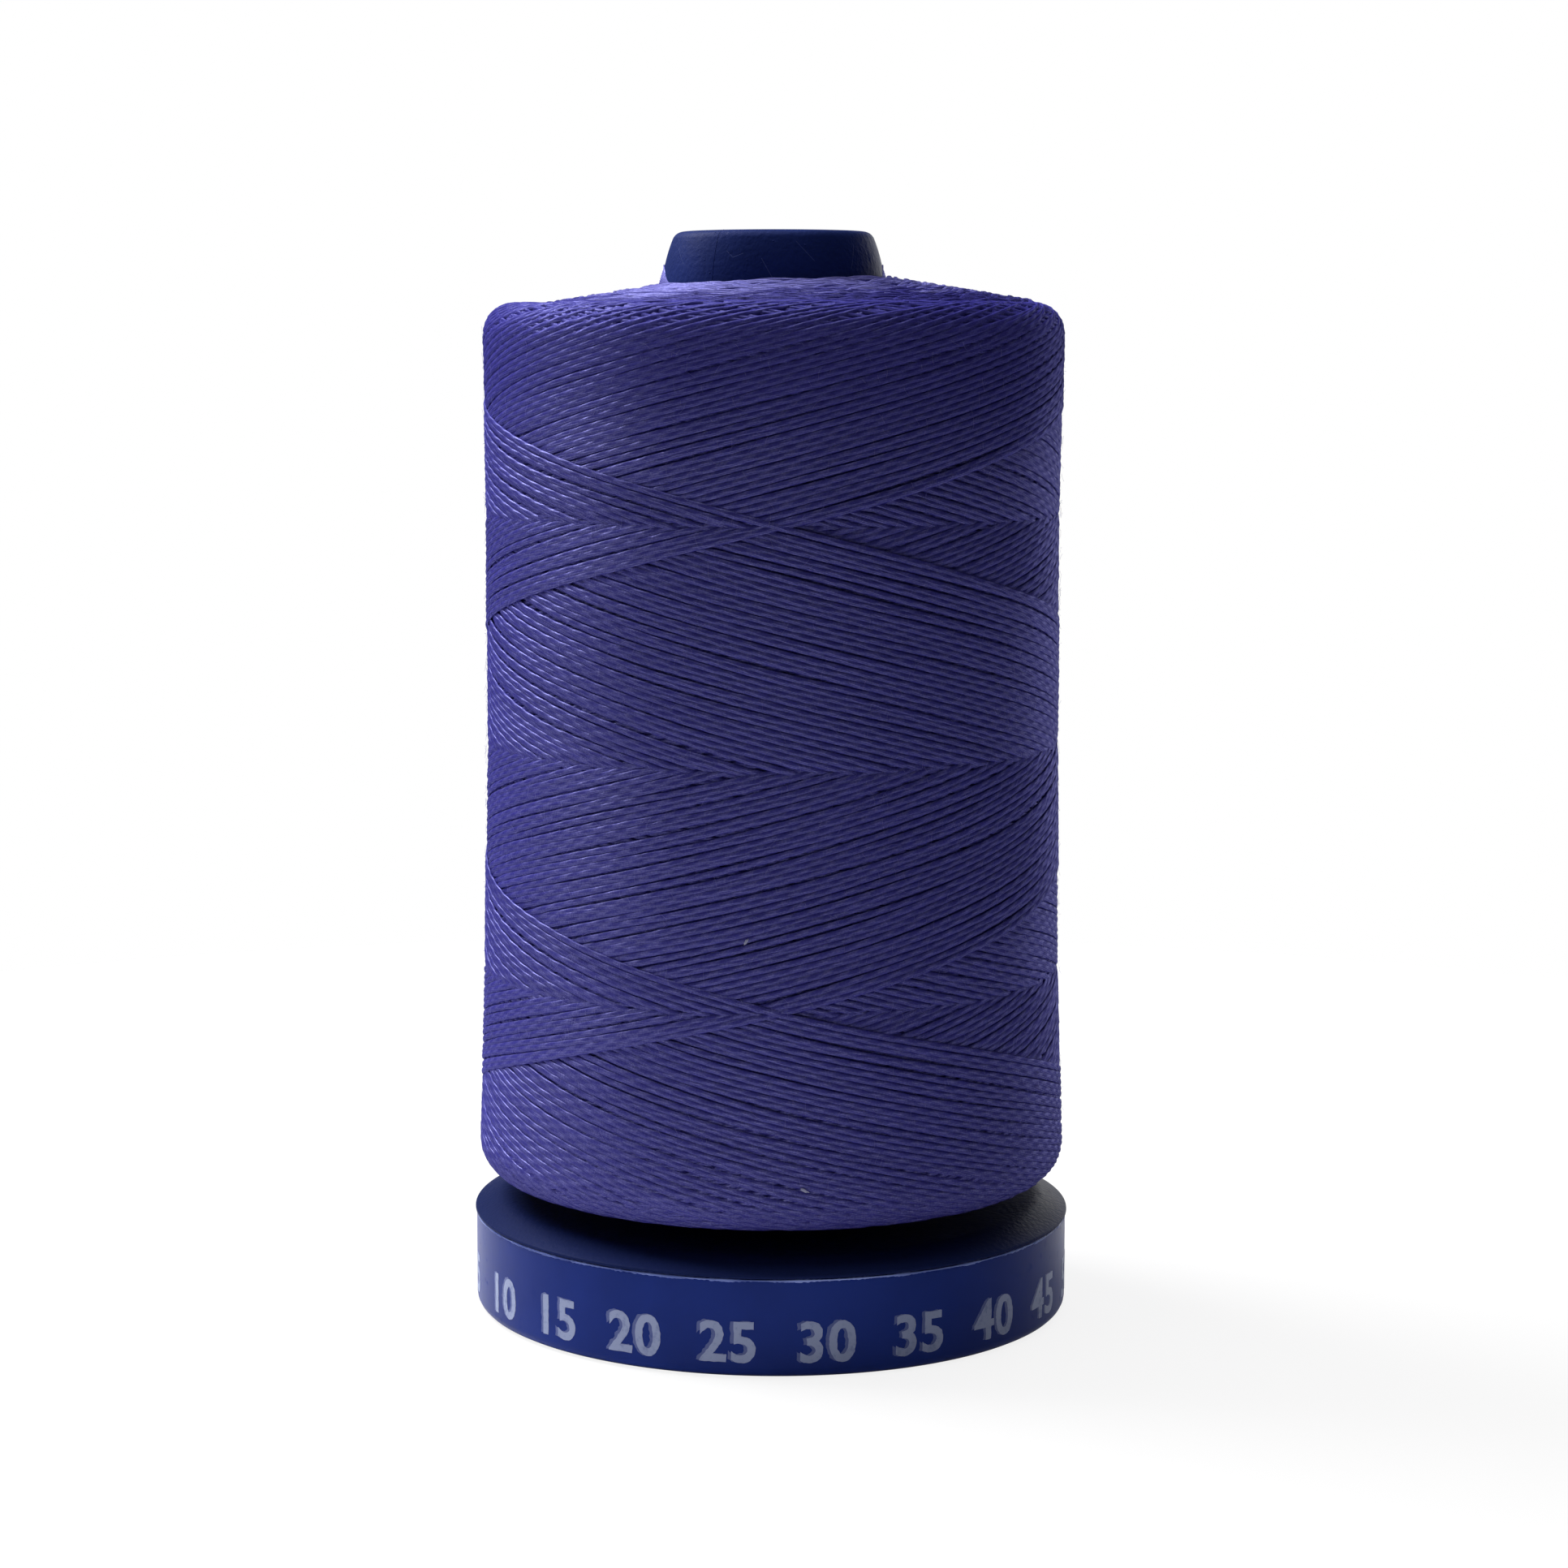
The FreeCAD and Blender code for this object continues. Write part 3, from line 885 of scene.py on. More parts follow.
# Each scratch on the nose: the angle round the axis and the height of its two ends, and its width.
NOSE_SCRATCHES = (
    ((262.5, 81.9), (268.0, 80.5), 0.035),
    ((281.0, 83.2), (290.5, 81.7), 0.03),
    ((243.0, 82.5), (247.0, 82.0), 0.03),
    ((247.0, 82.0), (252.5, 82.3), 0.025),
    ((318.0, 83.0), (313.0, 81.2), 0.02),
    ((205.0, 82.8), (214.0, 81.6), 0.03),
    ((150.0, 83.1), (141.0, 82.2), 0.03),
    ((75.0, 81.4), (92.0, 81.9), 0.03),
    ((20.0, 82.9), (33.0, 81.5), 0.025),
)


def nose_scratches(place):
    """How near a place is to one of the scratches, laid out flat round the nose: 1 on it and 0 off it."""
    across, along, height = place.axes()
    angle = along.maths("ARCTAN2", across) * (180 / math.pi) % 360.0
    mm_per_degree = BARREL_R / MM * math.pi / 180
    total = None
    for (angle_a, high_a), (angle_b, high_b), width in NOSE_SCRATCHES:
        run = Vector(((angle_b - angle_a) * mm_per_degree, high_b - high_a))
        x = (angle - angle_a) * mm_per_degree
        z = height / MM - high_a
        share = ((x * run.x + z * run.y) / run.length_squared).clip(0.0, 1.0)
        off_x = x - share * run.x
        off_z = z - share * run.y
        near = 1 - ((off_x * off_x + off_z * off_z) ** 0.5).eased(0.3 * width, width)
        total = near if total is None else total.most(near)
    return total


spool_plastic = moulded_plastic(
    "spool_navy_plastic",
    SPOOL_NAVY,
    SPOOL_DEEP,
    roughness=0.5,
    shine_level=0.018,
    texture=0.045,
    marks=nose_scratches,
    # painted shade: darker below the given height, over the flange disc and what lies under it
    painted_shade_below=(DISC_SHADE_TOP, DISC_PAINTED_SHADE),
)

spool_body = add_object(
    "spool_moulding",
    joined("spool_moulding", [turned("spool", spool_outline())] + bore_guides()),
    spool_plastic,
)
shade_flats(spool_body)
disc_ribs = radial_ribs(
    "disc_ribs",
    spool_plastic,
    RIB_COUNT,
    (BARREL_R - SUNK, TAIL_COLLAR_R - TAIL_COLLAR_WALL + SUNK),
    (DISC_RIB_LOW, DISC_LOW + SUNK),
)
nose_webs = radial_ribs(
    "nose_webs",
    spool_plastic,
    NOSE_WEBS,
    (PIN_COLLAR_R - SUNK, BARREL_BORE_R + SUNK),
    (NOSE_TOP - PIN_COUNTERSINK - NOSE_BORE_LENGTH + MM, NOSE_TOP - NOSE_ROOF + SUNK),
)
for piece in (spool_body, disc_ribs, nose_webs):
    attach(piece, "spool")
    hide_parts("spool_barrel")


# The nose's marks: the seam of the mould runs down two of its sides as a hair-fine ridge, and a few low
# blisters of the same plastic stand on its surface.
SEAM_ANGLES = (236.0, 56.0)
SEAM_WIDTH = 0.035 * MM
SEAM_LOW = 80.0 * MM
SEAM_STEPS = 40
SPECK_COUNT = 46
SPECK_HEIGHTS = (80.6, 83.9)
SPECK_SIZES = (0.045, 0.1)
SPECK_SEED = 7
FRONT_SPECKS = [(268.5, 83.2), (255.0, 81.8), (265.5, 81.5), (282.0, 82.9), (292.5, 83.6)]


def nose_surface(height):
    """Radius of the nose's outside at a height above the table, and the (radius, height) way outwards."""
    centre, radius = nose_side_centre, NOSE_SIDE_RADIUS
    if height - nose_edge_centre[1] > NOSE_EDGE_RADIUS * math.sin(nose_tilt):
        centre, radius = nose_edge_centre, NOSE_EDGE_RADIUS
    lean = math.asin(max(0.0, min(1.0, (height - centre[1]) / radius)))
    return centre[0] + radius * math.cos(lean), Vector((math.cos(lean), math.sin(lean)))


def on_nose(angle, height, proud):
    """A point that stands proud of the nose at an angle and height, and the surface's normal there."""
    r, lean = nose_surface(height)
    ahead = Vector((math.cos(math.radians(angle)), math.sin(math.radians(angle)), 0))
    outward = ahead * lean.x + Vector((0, 0, lean.y))
    return ahead * r + Vector((0, 0, height)) + outward * proud, outward


def seam_ridge(angle):
    """A fine half-round ridge down one side of the nose."""
    side = Vector((-math.sin(math.radians(angle)), math.cos(math.radians(angle)), 0))
    rings = []
    for i in range(SEAM_STEPS + 1):
        height = SEAM_LOW + i * (NOSE_TOP - SEAM_LOW) / SEAM_STEPS
        middle, outward = on_nose(angle, height, -0.4 * SEAM_WIDTH)
        width = SEAM_WIDTH * (1 + 0.35 * noise.noise(Vector((angle, i * 0.7, 0))))
        turns = [2 * math.pi * k / 6 for k in range(6)]
        rings.append([middle + (side * math.cos(t) + outward * math.sin(t)) * width for t in turns])
    return skinned("seam", rings, False)


def nose_specks():
    """Low blisters scattered over the nose, some where the photograph shows them."""
    draw = random.Random(SPECK_SEED)
    places = FRONT_SPECKS[:]
    for _ in range(SPECK_COUNT):
        places.append((draw.uniform(0, 360), draw.uniform(*SPECK_HEIGHTS)))
    whole = bmesh.new()
    for angle, height in places:
        size = draw.uniform(*SPECK_SIZES) * MM
        middle, outward = on_nose(angle, height * MM, -0.5 * size)
        stand = outward.to_track_quat("Z", "Y").to_matrix().to_4x4()
        stand = Matrix.Translation(middle) @ stand @ Matrix.Diagonal((1, 1, 0.8, 1))
        bmesh.ops.create_icosphere(whole, subdivisions=2, radius=size, matrix=stand)
    return mesh_from("specks", whole)


nose_marks = add_object(
    "nose_seam_and_specks",
    joined("nose_seam_and_specks", [seam_ridge(a) for a in SEAM_ANGLES] + [nose_specks()]),
    spool_plastic,
)
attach(nose_marks, "spool")


# The thread: one unbroken two-ply polyester thread, laid by a guide that takes two turns for each stroke
# up or down, so that the turns cross. Each double stroke lands half a millimetre behind the last one.
WAIST_R = 22.38 * MM
WAIST_Z = 57.3 * MM
WAIST_CURVE = 1316.0 * MM
SIDE_LOW = 13.2 * MM
SIDE_HIGH = 76.2 * MM
LOW_SHOULDER = 2.6 * MM
HIGH_SHOULDER = 2.4 * MM
DOME_TOP = 80.35 * MM
PACKAGE_LOW = 8.76 * MM
THREAD_WIDTH = 0.545 * MM
THREAD_FLATNESS = 0.465
LEAD = 35.4 * MM
DOUBLE_STROKE = 4.0141
STROKES = 71
NEWEST_CROSSING = 62.5 * MM
TOP_REVERSAL = NEWEST_CROSSING + LEAD / 2
STROKE_HIGH = LEAD * DOUBLE_STROKE / 2
NEWEST_ANGLE = math.pi / 2
FRONT_ANGLE = 1.5 * math.pi
TIP_ROUND = 0.004
STROKE_PITCH = LEAD * (DOUBLE_STROKE - 4)
FACE_TILT = 0.3 * MM
TILT_FROM = 60.0 * MM
ROUND_WAIST = 2 * math.pi * WAIST_R / MM
REVERSAL_REACH = 4 * MM
REVERSAL_SCATTER = 1.5 * MM
CROSSING_SOFT = 0.8 * MM
NEWEST_SOFT = 0.9 * MM
CROSSING_UNEVEN = 0.03 * MM
DEPTH_UNEVEN = 0.05 * MM
WIDTH_UNEVEN = 0.07
WIDER_AT_TIP = 0.35
TIP_REACH = (3 * MM, 16 * MM)
LEAST_LEAN = -1.75
MOST_LEAN = 1.85


def package_radius(z):
    """Outside radius of the wound thread along its waisted side: numbers or signals."""
    rise = z - WAIST_Z
    return rise * rise * (1 / (2 * WAIST_CURVE)) + WAIST_R


def thread_ring(width, sides):
    """Section of a thread. Each of its points keeps its share of the way round."""
    values = {"Resolution": sides, "Radius": width / 2}
    ring = width.add("GeometryNodeCurvePrimitiveCircle", values=values)
    return ring.kept("around", ring.add("GeometryNodeInputIndex") / sides)


def end_in_tube(tree, line, ring, material):
    """Ends a geometry tree with its line made a capped tube."""
    values = {"Curve": line, "Profile Curve": ring, "Fill Caps": True}
    end_tree(tree, line.add("GeometryNodeCurveToMesh", values=values), material)


def winding_tree():
    """A stretch of the thread as a tube. Turns are counted back from the newest end, at the bottom."""
    sizes = ("First turn", "Turns", "Thread width", "Flatness", "Shift", "Growth per layer")
    sizes += ("Pressed in", "Wander", "Wander length", "Seed")
    tree, given = geometry_tree("cross_winding", ("Points per turn", "Sides"), sizes)
    per_turn = given["Points per turn"]
    index = per_turn.add("GeometryNodeInputIndex")
    back = given["First turn"] + index / per_turn
    turn = DOUBLE_STROKE / 2 - back
    cycle = turn / DOUBLE_STROKE
    nearest = cycle.maths("ROUND")
    side = cycle - nearest
    share = abs(side) * 2
    high_tip = (share * share + TIP_ROUND**2) ** 0.5 - share
    rest = 1 - share
    low_tip = (rest * rest + TIP_ROUND**2) ** 0.5 - rest
    eased_share = share + high_tip - low_tip
    angle = turn * (2 * math.pi) + NEWEST_ANGLE

    def wandering(offset, length):
        """Smooth noise along the thread, from about -1 to 1, with a length in millimetres."""
        where = turn * ROUND_WAIST / length + given["Seed"] + offset
        values = {"W": where, "Scale": 1.0, "Detail": 1.5, "Roughness": 0.55}
        return (where.add("ShaderNodeTexNoise", {"noise_dimensions": "1D"}, values) - 0.5) * 2.6

    reversal = (cycle * 2).maths("ROUND")
    luck = reversal.add(
        "ShaderNodeTexWhiteNoise", {"noise_dimensions": "1D"}, {"W": reversal + given["Seed"]}
    )
    from_tip = share.least(rest) * STROKE_HIGH
    at_tip = 1 - from_tip.eased(0.0, REVERSAL_REACH)
    laid = TOP_REVERSAL - eased_share * STROKE_HIGH
    tilt = (laid - TILT_FROM).most(0.0) * (FACE_TILT / (TOP_REVERSAL - TILT_FROM))
    height = (
        laid
        + given["Shift"]
        + tilt * angle.maths("COSINE")
        + wandering(0.0, given["Wander length"]) * given["Wander"]
        + (luck - 0.5) * REVERSAL_SCATTER * at_tip
    )

    own_age = back * (LEAD / (STROKES * DOUBLE_STROKE))
    drift = (angle - FRONT_ANGLE) * (LEAD / (2 * math.pi))
    rising_age = (height - NEWEST_CROSSING - drift) % LEAD
    falling_age = (NEWEST_CROSSING - drift - height) % LEAD
    falling = side.maths("GREATER_THAN", 0.0)
    crossing_age = rising_age * falling + falling_age * (1 - falling)
    older = (own_age - crossing_age).eased(-CROSSING_SOFT, CROSSING_SOFT)
    beside_newest = 1 - (LEAD - crossing_age).eased(0.0, NEWEST_SOFT)
    near_tip = 1 - from_tip.eased(*TIP_REACH)
    under = older.most(beside_newest) * (1 - near_tip * 0.6)
    over_crossings = (crossing_age * (2 * math.pi / STROKE_PITCH)).maths("COSINE") * (1 - under)
    depth = (
        given["Thread width"] * given["Flatness"] / 2
        + own_age * given["Growth per layer"] / LEAD * (1 - near_tip * 0.7)
        + under * given["Pressed in"]
        + over_crossings * wandering(59.0, 12.0) * CROSSING_UNEVEN
        + wandering(37.0, 9.0) * DEPTH_UNEVEN * (1 - near_tip * 0.6)
    )

    flat = height.clip(SIDE_LOW, SIDE_HIGH)
    above = (height - SIDE_HIGH).most(0.0) / HIGH_SHOULDER
    below = (SIDE_LOW - height).most(0.0) / LOW_SHOULDER
    lean = (above - below).clip(LEAST_LEAN, MOST_LEAN)
    shoulder = above.maths("GREATER_THAN", 0.0) * (HIGH_SHOULDER - LOW_SHOULDER) + LOW_SHOULDER
    out, up = lean.maths("COSINE"), lean.maths("SINE")
    radius = package_radius(flat) - shoulder * (1 - out) - depth * out
    level = flat + (shoulder - depth) * up

    count = (given["Turns"] * per_turn).maths("ROUND") + 1
    line = count.add("GeometryNodeMeshLine", values={"Count": count})
    line = line.add("GeometryNodeMeshToCurve", values={"Mesh": line})
    position = radius.round_axis(angle, level)
    line = line.add("GeometryNodeSetPosition", values={"Geometry": line, "Position": position})
    line = line.add("GeometryNodeSetCurveNormal", {"mode": "Z_UP"}, {"Curve": line})
    line = line.kept("along", back * ROUND_WAIST).kept("strand", wandering(81.0, 70.0) * 0.5 + 0.5)
    spread = near_tip * WIDER_AT_TIP + 1.0 + wandering(23.0, 5.0) * WIDTH_UNEVEN
    line = line.add("GeometryNodeSetCurveRadius", values={"Curve": line, "Radius": spread})
    ring = thread_ring(given["Thread width"], given["Sides"])
    flattened = ring.vector(given["Flatness"], 1.0, 1.0)
    ring = ring.add(
        "GeometryNodeTransform",
        values={"Geometry": ring, "Scale": flattened, "Rotation": (0.0, 0.0, math.pi)},
    )
    end_in_tube(tree, line, ring, given["Material"])
    return tree


THREAD_VIOLET = colour(65, 62, 151)
THREAD_DARK = colour(50, 47, 124)
FIBRE_SHINE = colour(166, 166, 232)
SHINE_EDGE = colour(176, 176, 190)
SHINE_SHARE = 0.22
RIM_SHINE_SHARE = 0.1
SEE_THROUGH = 0.35
PLY_PITCH = 3.9
FIBRE_SCALE = 7000.0
SLUB_SCALE = 900.0
PLY_DEEP = 0.022
SLUB_DEEP = 0.035
FIBRE_DEEP = 0.022
CALM_LOW = 66 * MM
CALM_REACH = 9 * MM
MATT_ROUGH = 0.8
SHINE_ROUGH = 0.41


def spun_thread(name, light, dark, shine_share=SHINE_SHARE, calm_from=None):
    """Spun polyester: two twisted plies of matt fibre with a weak pale shine, calmer above calm_from."""
    material, place = placed_material(name)
    along, around, strand = [
        place.add("ShaderNodeAttribute", {"attribute_name": kept}, output="Fac")
        for kept in ("along", "around", "strand")
    ]
    twist = (around + along / PLY_PITCH) * (4 * math.pi)
    ply = twist.maths("COSINE") * 0.5 + 0.5
    fibres = place.noisy(FIBRE_SCALE, 2.0)
    slubs = place.noisy(SLUB_SCALE, 2.0)
    tint = (ply * 0.08 + fibres * 0.45 + strand * 0.35 + slubs * 0.4).eased(0.3, 1.0).mixed(dark, light)
    glint = (ply.eased(0.2, 0.95) * 0.9 + 0.45) * (fibres.eased(0.35, 0.65) * 0.6 + 0.7)
    if calm_from:
        _, _, level = place.axes()
        glint = glint * (1 - level.eased(calm_from, calm_from + CALM_REACH) * 0.5)
    bump = (ply * PLY_DEEP + slubs * SLUB_DEEP + fibres * FIBRE_DEEP).bumped()
    matt = place.add(
        "ShaderNodeBsdfPrincipled",
        values={"Base Color": tint, "Roughness": MATT_ROUGH, "Specular IOR Level": 0.0, "Normal": bump},
    )
    shine = place.add(
        "ShaderNodeBsdfPrincipled",
        values={
            "Base Color": FIBRE_SHINE,
            "Metallic": 1.0,
            "Roughness": SHINE_ROUGH,
            "Specular Tint": SHINE_EDGE,
            "Normal": bump,
        },
    )
    surface = place.add("ShaderNodeMixShader", values={0: glint * shine_share, 1: matt, 2: shine})
    through = place.add("ShaderNodeBsdfTranslucent", values={"Color": tint})
    thread = place.add("ShaderNodeMixShader", values={0: SEE_THROUGH, 1: surface, 2: through})
    return surfaced(material, thread)


thread_material = spun_thread("violet_thread", THREAD_VIOLET, THREAD_DARK, calm_from=CALM_LOW)
winding = winding_tree()
layer_turns = STROKES * DOUBLE_STROKE
winding_pieces = []
for name, parts, first, shift, per_turn, sides in (
    ("thread_turns", 3, 0.0, 0.0, 72, 8),
    ("thread_under_turns", 1, layer_turns, STROKE_PITCH / 2, 48, 5),
):
    for part in range(parts):
        sizes = {
            "First turn": first + layer_turns * part / parts,
            "Turns": layer_turns / parts,
            "Points per turn": per_turn,
            "Sides": sides,
            "Thread width": THREAD_WIDTH,
            "Flatness": THREAD_FLATNESS,
            "Shift": shift,
            "Growth per layer": 0.17 * MM,
            "Pressed in": 0.13 * MM,
            "Wander": 0.32 * MM,
            "Wander length": 34.0,
            "Seed": 3.0,
            "Material": thread_material,
        }
        winding_pieces.append(grown(f"{name}_{part + 1}", winding, sizes))


# The ends of the winding: the tips of older strokes lie over each other as short arcs on the domed ends,
# looser towards the nose, where they are painted paler as a painted sheen; round the edge they are painted
# a little darker as painted shade. Under all the turns that show is the imported rest of the thread,
# painted darker as the shade deep in the winding.
CORE_DEPTH = 0.75 * MM
CORE_STEPS = 12
# Painted shade: the core is darker than the thread, for the shade between and under the turns.
CORE_SHADED_VIOLET = colour(44, 42, 100)
CORE_SHADED_DARK = colour(30, 28, 76)


def core_outline():
    """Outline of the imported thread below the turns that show."""
    low_r = package_radius(SIDE_LOW)
    high_r = package_radius(SIDE_HIGH)
    sides = [SIDE_LOW + (SIDE_HIGH - SIDE_LOW) * i / CORE_STEPS for i in range(CORE_STEPS + 1)]
    return [
        (BARREL_R + 0.02 * MM, PACKAGE_LOW + 0.3 * MM),
        *arc_points((low_r - LOW_SHOULDER, SIDE_LOW), LOW_SHOULDER - CORE_DEPTH, -90, -8, 8),
        *[(package_radius(z) - CORE_DEPTH, z) for z in sides],
        *arc_points((high_r - HIGH_SHOULDER, SIDE_HIGH), HIGH_SHOULDER - CORE_DEPTH, 8, 90, 8),
        (high_r - HIGH_SHOULDER - 1.2 * MM, SIDE_HIGH + HIGH_SHOULDER - 0.3 * MM),
        (BARREL_R + 0.02 * MM, DOME_TOP - 0.3 * MM),
    ]


core = add_object(
    "thread_core",
    turned("thread_core", core_outline(), 160),
    spun_thread("shaded_packed_thread", CORE_SHADED_VIOLET, CORE_SHADED_DARK),
)


def chance(seed, offset, low=0.0, high=1.0):
    """A random number for each point or instance. Each offset gives another."""
    values = {2: low, 3: high, 8: seed + offset}
    return seed.add("FunctionNodeRandomValue", {"data_type": "FLOAT"}, values, output=1)


def recalled(shape, name):
    """The value that geometry keeps under a name."""
    return shape.add("GeometryNodeInputNamedAttribute", {"data_type": "FLOAT"}, {"Name": name})


def scattered(count, root, ends, steps, stretch, lots):
    """Straight lines from random roots, made real. Each keeps random values under their names."""
    points = root.add("GeometryNodePoints", values={"Count": count, "Position": root})
    line = root.add("GeometryNodeCurvePrimitiveLine", values=dict(zip(("Start", "End"), ends)))
    line = line.add("GeometryNodeResampleCurve", values={"Curve": line, "Count": steps})
    size = root.vector(stretch, 1.0, 1.0)
    lines = root.add(
        "GeometryNodeInstanceOnPoints", values={"Points": points, "Instance": line, "Scale": size}
    )
    for name, lot in lots.items():
        lines = lines.kept(name, lot, "INSTANCE")
    return lines.add("GeometryNodeRealizeInstances", values={0: lines})


def tip_tree():
    """Short arcs of thread laid round the axis on a cone, each dipping out of sight at its two ends."""
    sizes = ("Inner radius", "Outer radius", "Inner height", "Outer height", "Half length")
    sizes += ("Dip", "Bow", "Tilt", "Thread width")
    tree, given = geometry_tree("stroke_tips", ("Count", "Seed"), sizes)
    seed, half = given["Seed"], given["Half length"]
    inner, outer = given["Inner radius"], given["Outer radius"]
    radius = (inner * inner + chance(seed, 1) * (outer * outer - inner * inner)) ** 0.5
    root = seed.vector(y=radius, z=chance(seed, 2) * (2 * math.pi))
    ends = (seed.vector(-half), seed.vector(half))
    lots = {"sunk": chance(seed, 4), "strand": chance(seed, 5)}
    arcs = scattered(given["Count"], root, ends, 9, chance(seed, 3, 0.55, 1.25), lots)
    along, r, angle = arcs.add("GeometryNodeInputPosition").axes()
    part = along.add("GeometryNodeSplineParameter") * 2 - 1
    dip = part * part
    bent_angle = angle + along / r
    out = (r - inner) / (outer - inner)
    cone = given["Inner height"] + (given["Outer height"] - given["Inner height"]) * out
    tilted = given["Tilt"] * bent_angle.maths("COSINE")
    level = cone + tilted - given["Dip"] * (dip * 0.9 + recalled(arcs, "sunk") * 0.36)
    position = (r + (dip - 0.3) * given["Bow"]).round_axis(bent_angle, level)
    arcs = arcs.kept("along", along / MM + angle * 40)
    arcs = arcs.add("GeometryNodeSetPosition", values={"Geometry": arcs, "Position": position})
    end_in_tube(tree, arcs, thread_ring(given["Thread width"], 6), given["Material"])
    return tree


FACE_EDGE_R = 20.0 * MM
FACE_SPLIT_R = 15.5 * MM
FACE_INNER_R = BARREL_R + 0.3 * MM
FACE_EDGE_Z = SIDE_HIGH + HIGH_SHOULDER - 0.06 * MM
FACE_SLOPE = (FACE_EDGE_Z - DOME_TOP) / (FACE_EDGE_R - FACE_INNER_R)
TIP_WIDTH = 0.33 * MM
TIP_DIP = 0.5 * MM
LOW_FACE = {
    "Inner height": 9.9 * MM,
    "Outer height": SIDE_LOW - LOW_SHOULDER + 0.15 * MM,
    "Dip": -TIP_DIP,
    "Tilt": 0.0,
}
# Painted sheen: the arcs near the nose and the climbed turns are coloured paler than the thread.
PAINTED_SHEEN_PALE = colour(122, 120, 190)
PAINTED_SHEEN_DARK = colour(84, 82, 158)
# Painted shade: the arcs round the edge are a little darker than the thread on the side.
RIM_SHADED_VIOLET = colour(66, 63, 146)
RIM_SHADED_DARK = colour(46, 43, 112)


def face_height(r):
    """Height of the cone that the upper end's arcs lie on."""
    return DOME_TOP + FACE_SLOPE * (r - FACE_INNER_R)


painted_sheen_turns = spun_thread("painted_sheen_turns", PAINTED_SHEEN_PALE, PAINTED_SHEEN_DARK)
shaded_rim_turns = spun_thread("shaded_rim_turns", RIM_SHADED_VIOLET, RIM_SHADED_DARK, RIM_SHINE_SHARE)
tips = tip_tree()
for name, count, inner, outer, seed, material, changes in (
    ("top_stroke_tips", 1000, FACE_INNER_R, FACE_SPLIT_R + 1.2 * MM, 11, painted_sheen_turns, {}),
    ("rim_stroke_tips", 1300, FACE_SPLIT_R - 1.5 * MM, FACE_EDGE_R, 14, shaded_rim_turns, {}),
    ("low_stroke_tips", 700, 15.0 * MM, FACE_EDGE_R, 12, thread_material, LOW_FACE),
):
    sizes = {
        "Count": count,
        "Inner radius": inner,
        "Outer radius": outer,
        "Inner height": face_height(inner),
        "Outer height": face_height(outer),
        "Half length": 3.2 * MM,
        "Dip": TIP_DIP,
        "Bow": 0.7 * MM,
        "Tilt": FACE_TILT,
        "Thread width": TIP_WIDTH,
        "Seed": seed,
        "Material": material,
    }
    winding_pieces.append(grown(name, tips, sizes | changes))


# The climbed turns: round the back of the nose, the last turns laid have slipped a little up its foot.
# They are so fine and so tightly packed there that they are one ribbed ring, tapered at its two ends.
CLIMB_HIGH = 1.5 * MM
CLIMB_THICK = 0.25 * MM
CLIMB_RELIEF = 0.05 * MM
CLIMB_TURNS = 8
CLIMB_START = -24.0
CLIMB_SWEEP = 228.0
CLIMB_TAPER = 26.0
CLIMB_STEPS = 140
CLIMB_LEVELS = 48


def climbed_turns():
    """Part of a ring of thin turns against the nose's foot, thickest at the bottom."""
    rings = []
    for step in range(CLIMB_STEPS + 1):
        degrees = CLIMB_SWEEP * step / CLIMB_STEPS
        angle = math.radians(CLIMB_START + degrees)
        taper = min(1.0, degrees / CLIMB_TAPER, (CLIMB_SWEEP - degrees) / CLIMB_TAPER)
        taper = taper * taper * (3 - 2 * taper)
        outline = []
        for level in range(CLIMB_LEVELS + 1):
            up = level / CLIMB_LEVELS
            z = DOME_TOP - 0.25 * MM + up * CLIMB_HIGH * (0.15 + 0.85 * taper)
            turn = abs(math.sin(math.pi * up * CLIMB_TURNS)) * CLIMB_RELIEF
            reach = (0.1 + 0.9 * taper) * (CLIMB_THICK * (1 - up) + turn) - 0.03 * MM
            outline.append((nose_surface(z)[0] + reach, z))
        outline += [(BARREL_R - 0.15 * MM, outline[-1][1]), (BARREL_R - 0.15 * MM, outline[0][1])]
        rings.append(turned_to(angle, outline))
    return skinned("climbed_turns", rings, False)


# Their pale colour is a painted sheen.
winding_pieces.append(add_object("climbed_turns", climbed_turns(), painted_sheen_turns))


# The bloom: loose fibre ends stand off the spun thread all round, fine and curled, and two tangled flecks
# of white lint sit on its front.
FUZZ_COUNT = 4200
FUZZ_RADIUS = 0.008 * MM
FUZZ_LIFT = 0.2 * MM
FUZZ_PALE = colour(128, 126, 196)
LINT_PALE = colour(168, 168, 200)
LINT_PLACES = ((-2.4, 32.4, 0.45), (1.95, 14.1, 0.65))
LINT_FIBRES = 7


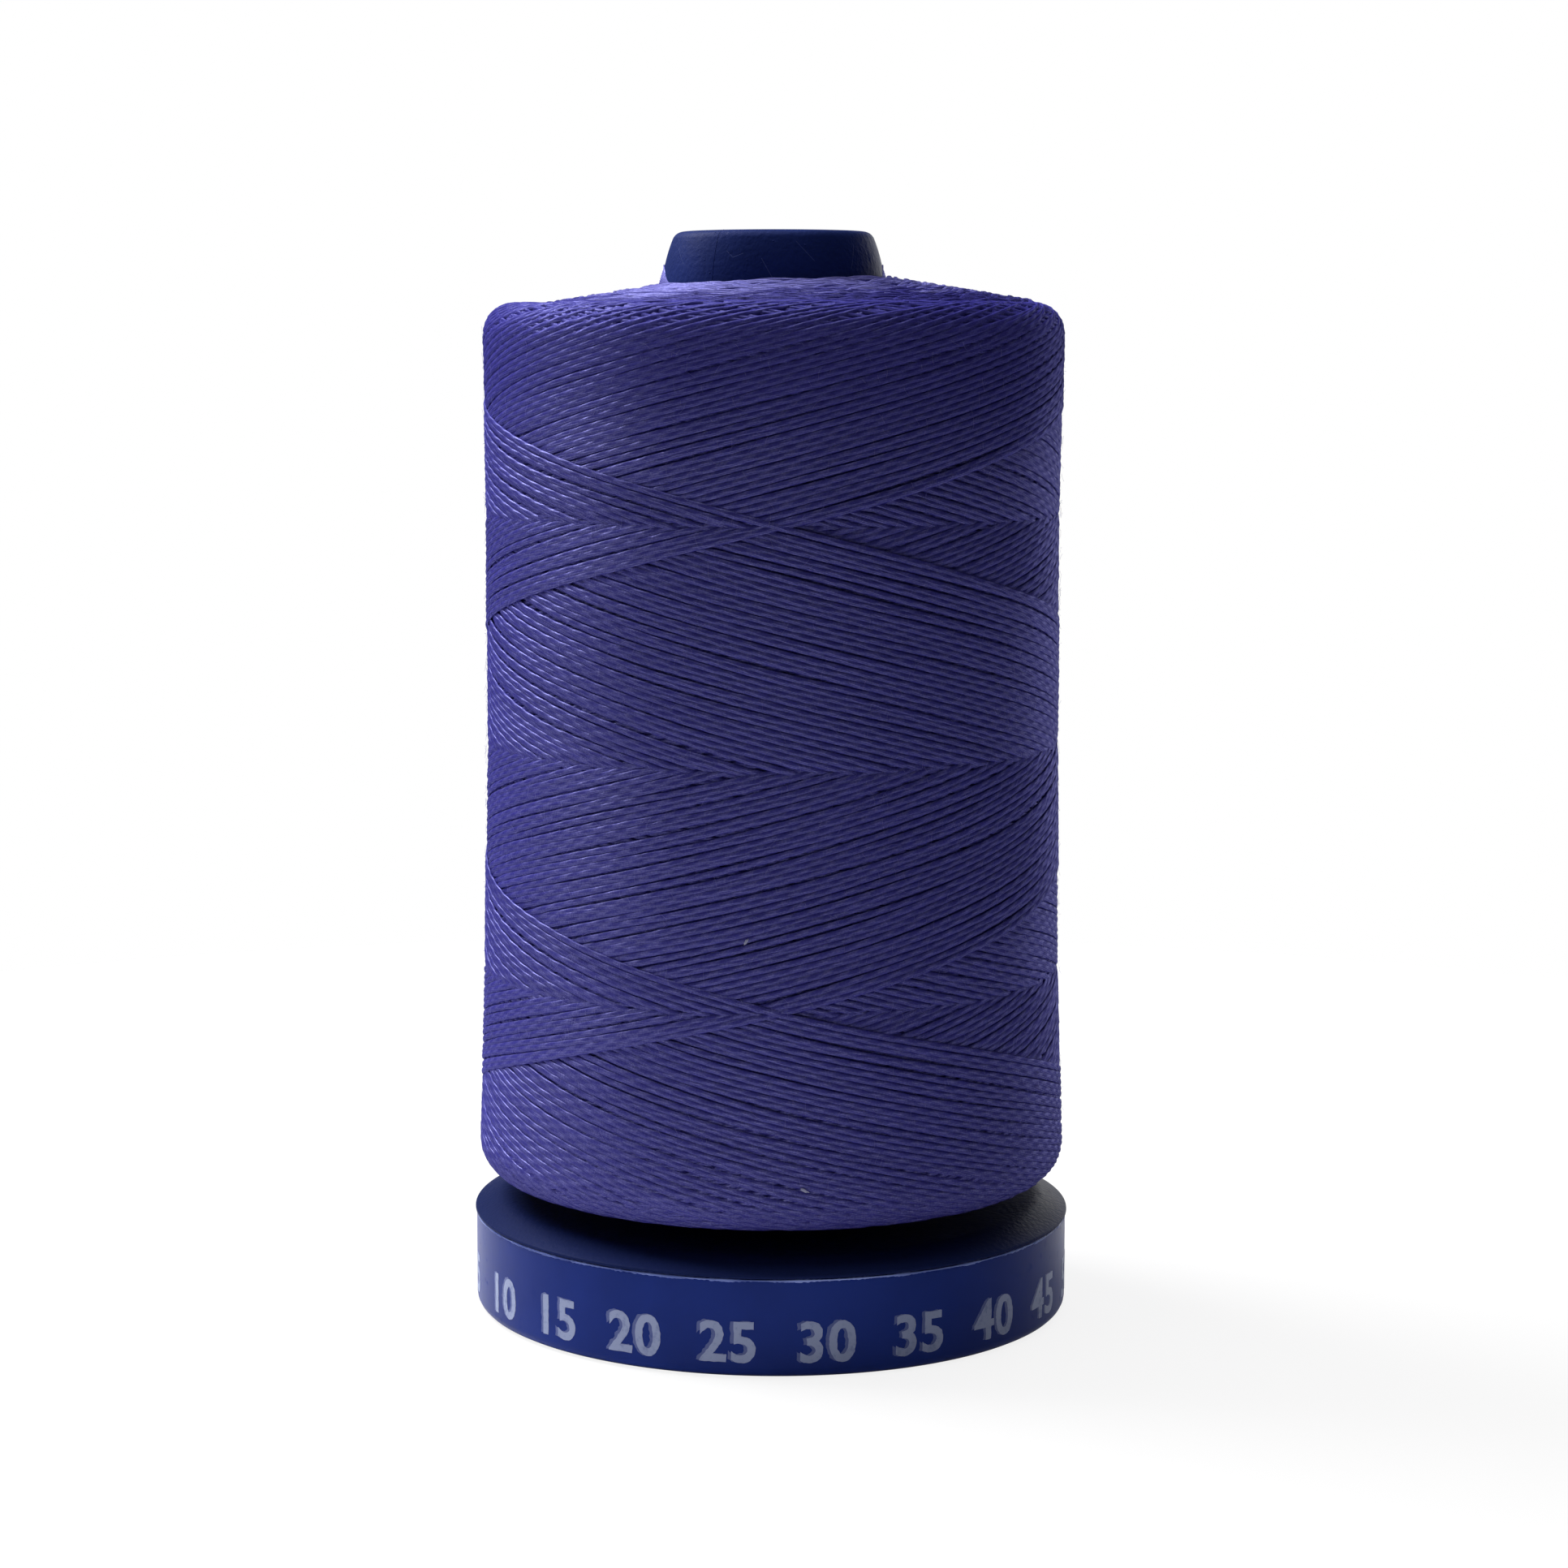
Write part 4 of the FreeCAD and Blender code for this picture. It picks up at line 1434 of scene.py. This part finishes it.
def fuzz_tree():
    """Fine curled fibres over the waisted side, each rooted on the thread with its far end lifted."""
    sizes = ("Low", "High", "Lift", "Fibre radius")
    tree, given = geometry_tree("fuzz", ("Count", "Seed"), sizes)
    seed = given["Seed"]
    root = seed.vector(
        y=chance(seed, 1, given["Low"], given["High"]), z=chance(seed, 2, high=2 * math.pi)
    )
    length = chance(seed, 3, 0.1)
    lots = {
        "heading": chance(seed, 4, high=2 * math.pi),
        "lifted": chance(seed, 5),
        "curl": chance(seed, 6, -0.6, 0.6),
    }
    ends = ((0, 0, 0), (MM, 0, 0))
    fibres = scattered(given["Count"], root, ends, 7, length * length * 0.9 + 0.2, lots)
    heading, lifted, curl = [recalled(fibres, name) for name in lots]
    along, height, angle = fibres.add("GeometryNodeInputPosition").axes()
    turn = heading + curl * along / MM
    angle = angle + along * turn.maths("COSINE") / WAIST_R
    height = height + along * turn.maths("SINE")
    part = along.add("GeometryNodeSplineParameter")
    radius = package_radius(height) - 0.03 * MM + part * part * lifted * lifted * given["Lift"]
    position = radius.round_axis(angle, height)
    fibres = fibres.add("GeometryNodeSetPosition", values={"Geometry": fibres, "Position": position})
    ring = fibres.add(
        "GeometryNodeCurvePrimitiveCircle", values={"Resolution": 3, "Radius": given["Fibre radius"]}
    )
    end_in_tube(tree, fibres, ring, given["Material"])
    return tree


def loose_fibre(name, tint):
    """Single fibres: pale, matt and half see-through."""
    material, start = new_material(name)
    surface = start.add("ShaderNodeBsdfPrincipled", values={"Base Color": tint, "Roughness": 0.7})
    through = start.add("ShaderNodeBsdfTranslucent", values={"Color": tint})
    return surfaced(material, start.add("ShaderNodeMixShader", values={0: 0.5, 1: surface, 2: through}))


fuzz = grown(
    "thread_fuzz",
    fuzz_tree(),
    {
        "Count": FUZZ_COUNT,
        "Low": SIDE_LOW,
        "High": SIDE_HIGH,
        "Lift": FUZZ_LIFT,
        "Fibre radius": FUZZ_RADIUS,
        "Seed": 5,
        "Material": loose_fibre("loose_fibre", FUZZ_PALE),
    },
)


def lint_mesh():
    """Small tangled flecks on the front of the winding."""
    shape = bmesh.new()
    for number, (across, height, length) in enumerate(LINT_PLACES):
        draw = random.Random(number)
        r = package_radius(height * MM) + 0.04 * MM
        for _ in range(LINT_FIBRES):
            middle = Vector((across, 0, height)) * MM
            middle += Vector((draw.uniform(-0.1, 0.1), 0, draw.uniform(-0.07, 0.07))) * MM
            middle.y = -math.sqrt(r * r - middle.x**2)
            turn = Matrix.Rotation(draw.uniform(0.5, 1.3) * (1 if number == 0 else -0.4), 4, "Y")
            stretch = Matrix.Diagonal((length * draw.uniform(0.3, 0.6), 0.05, 0.045, 1))
            place = Matrix.Translation(middle) @ turn.inverted() @ stretch
            bmesh.ops.create_icosphere(shape, subdivisions=2, radius=MM, matrix=place)
    return mesh_from("lint", shape)


lint = add_object("lint", lint_mesh(), loose_fibre("white_lint", LINT_PALE))

for piece in [core, fuzz, lint] + winding_pieces:
    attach(piece, "spool")
    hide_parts("thread_package", "thread_outer_turns")
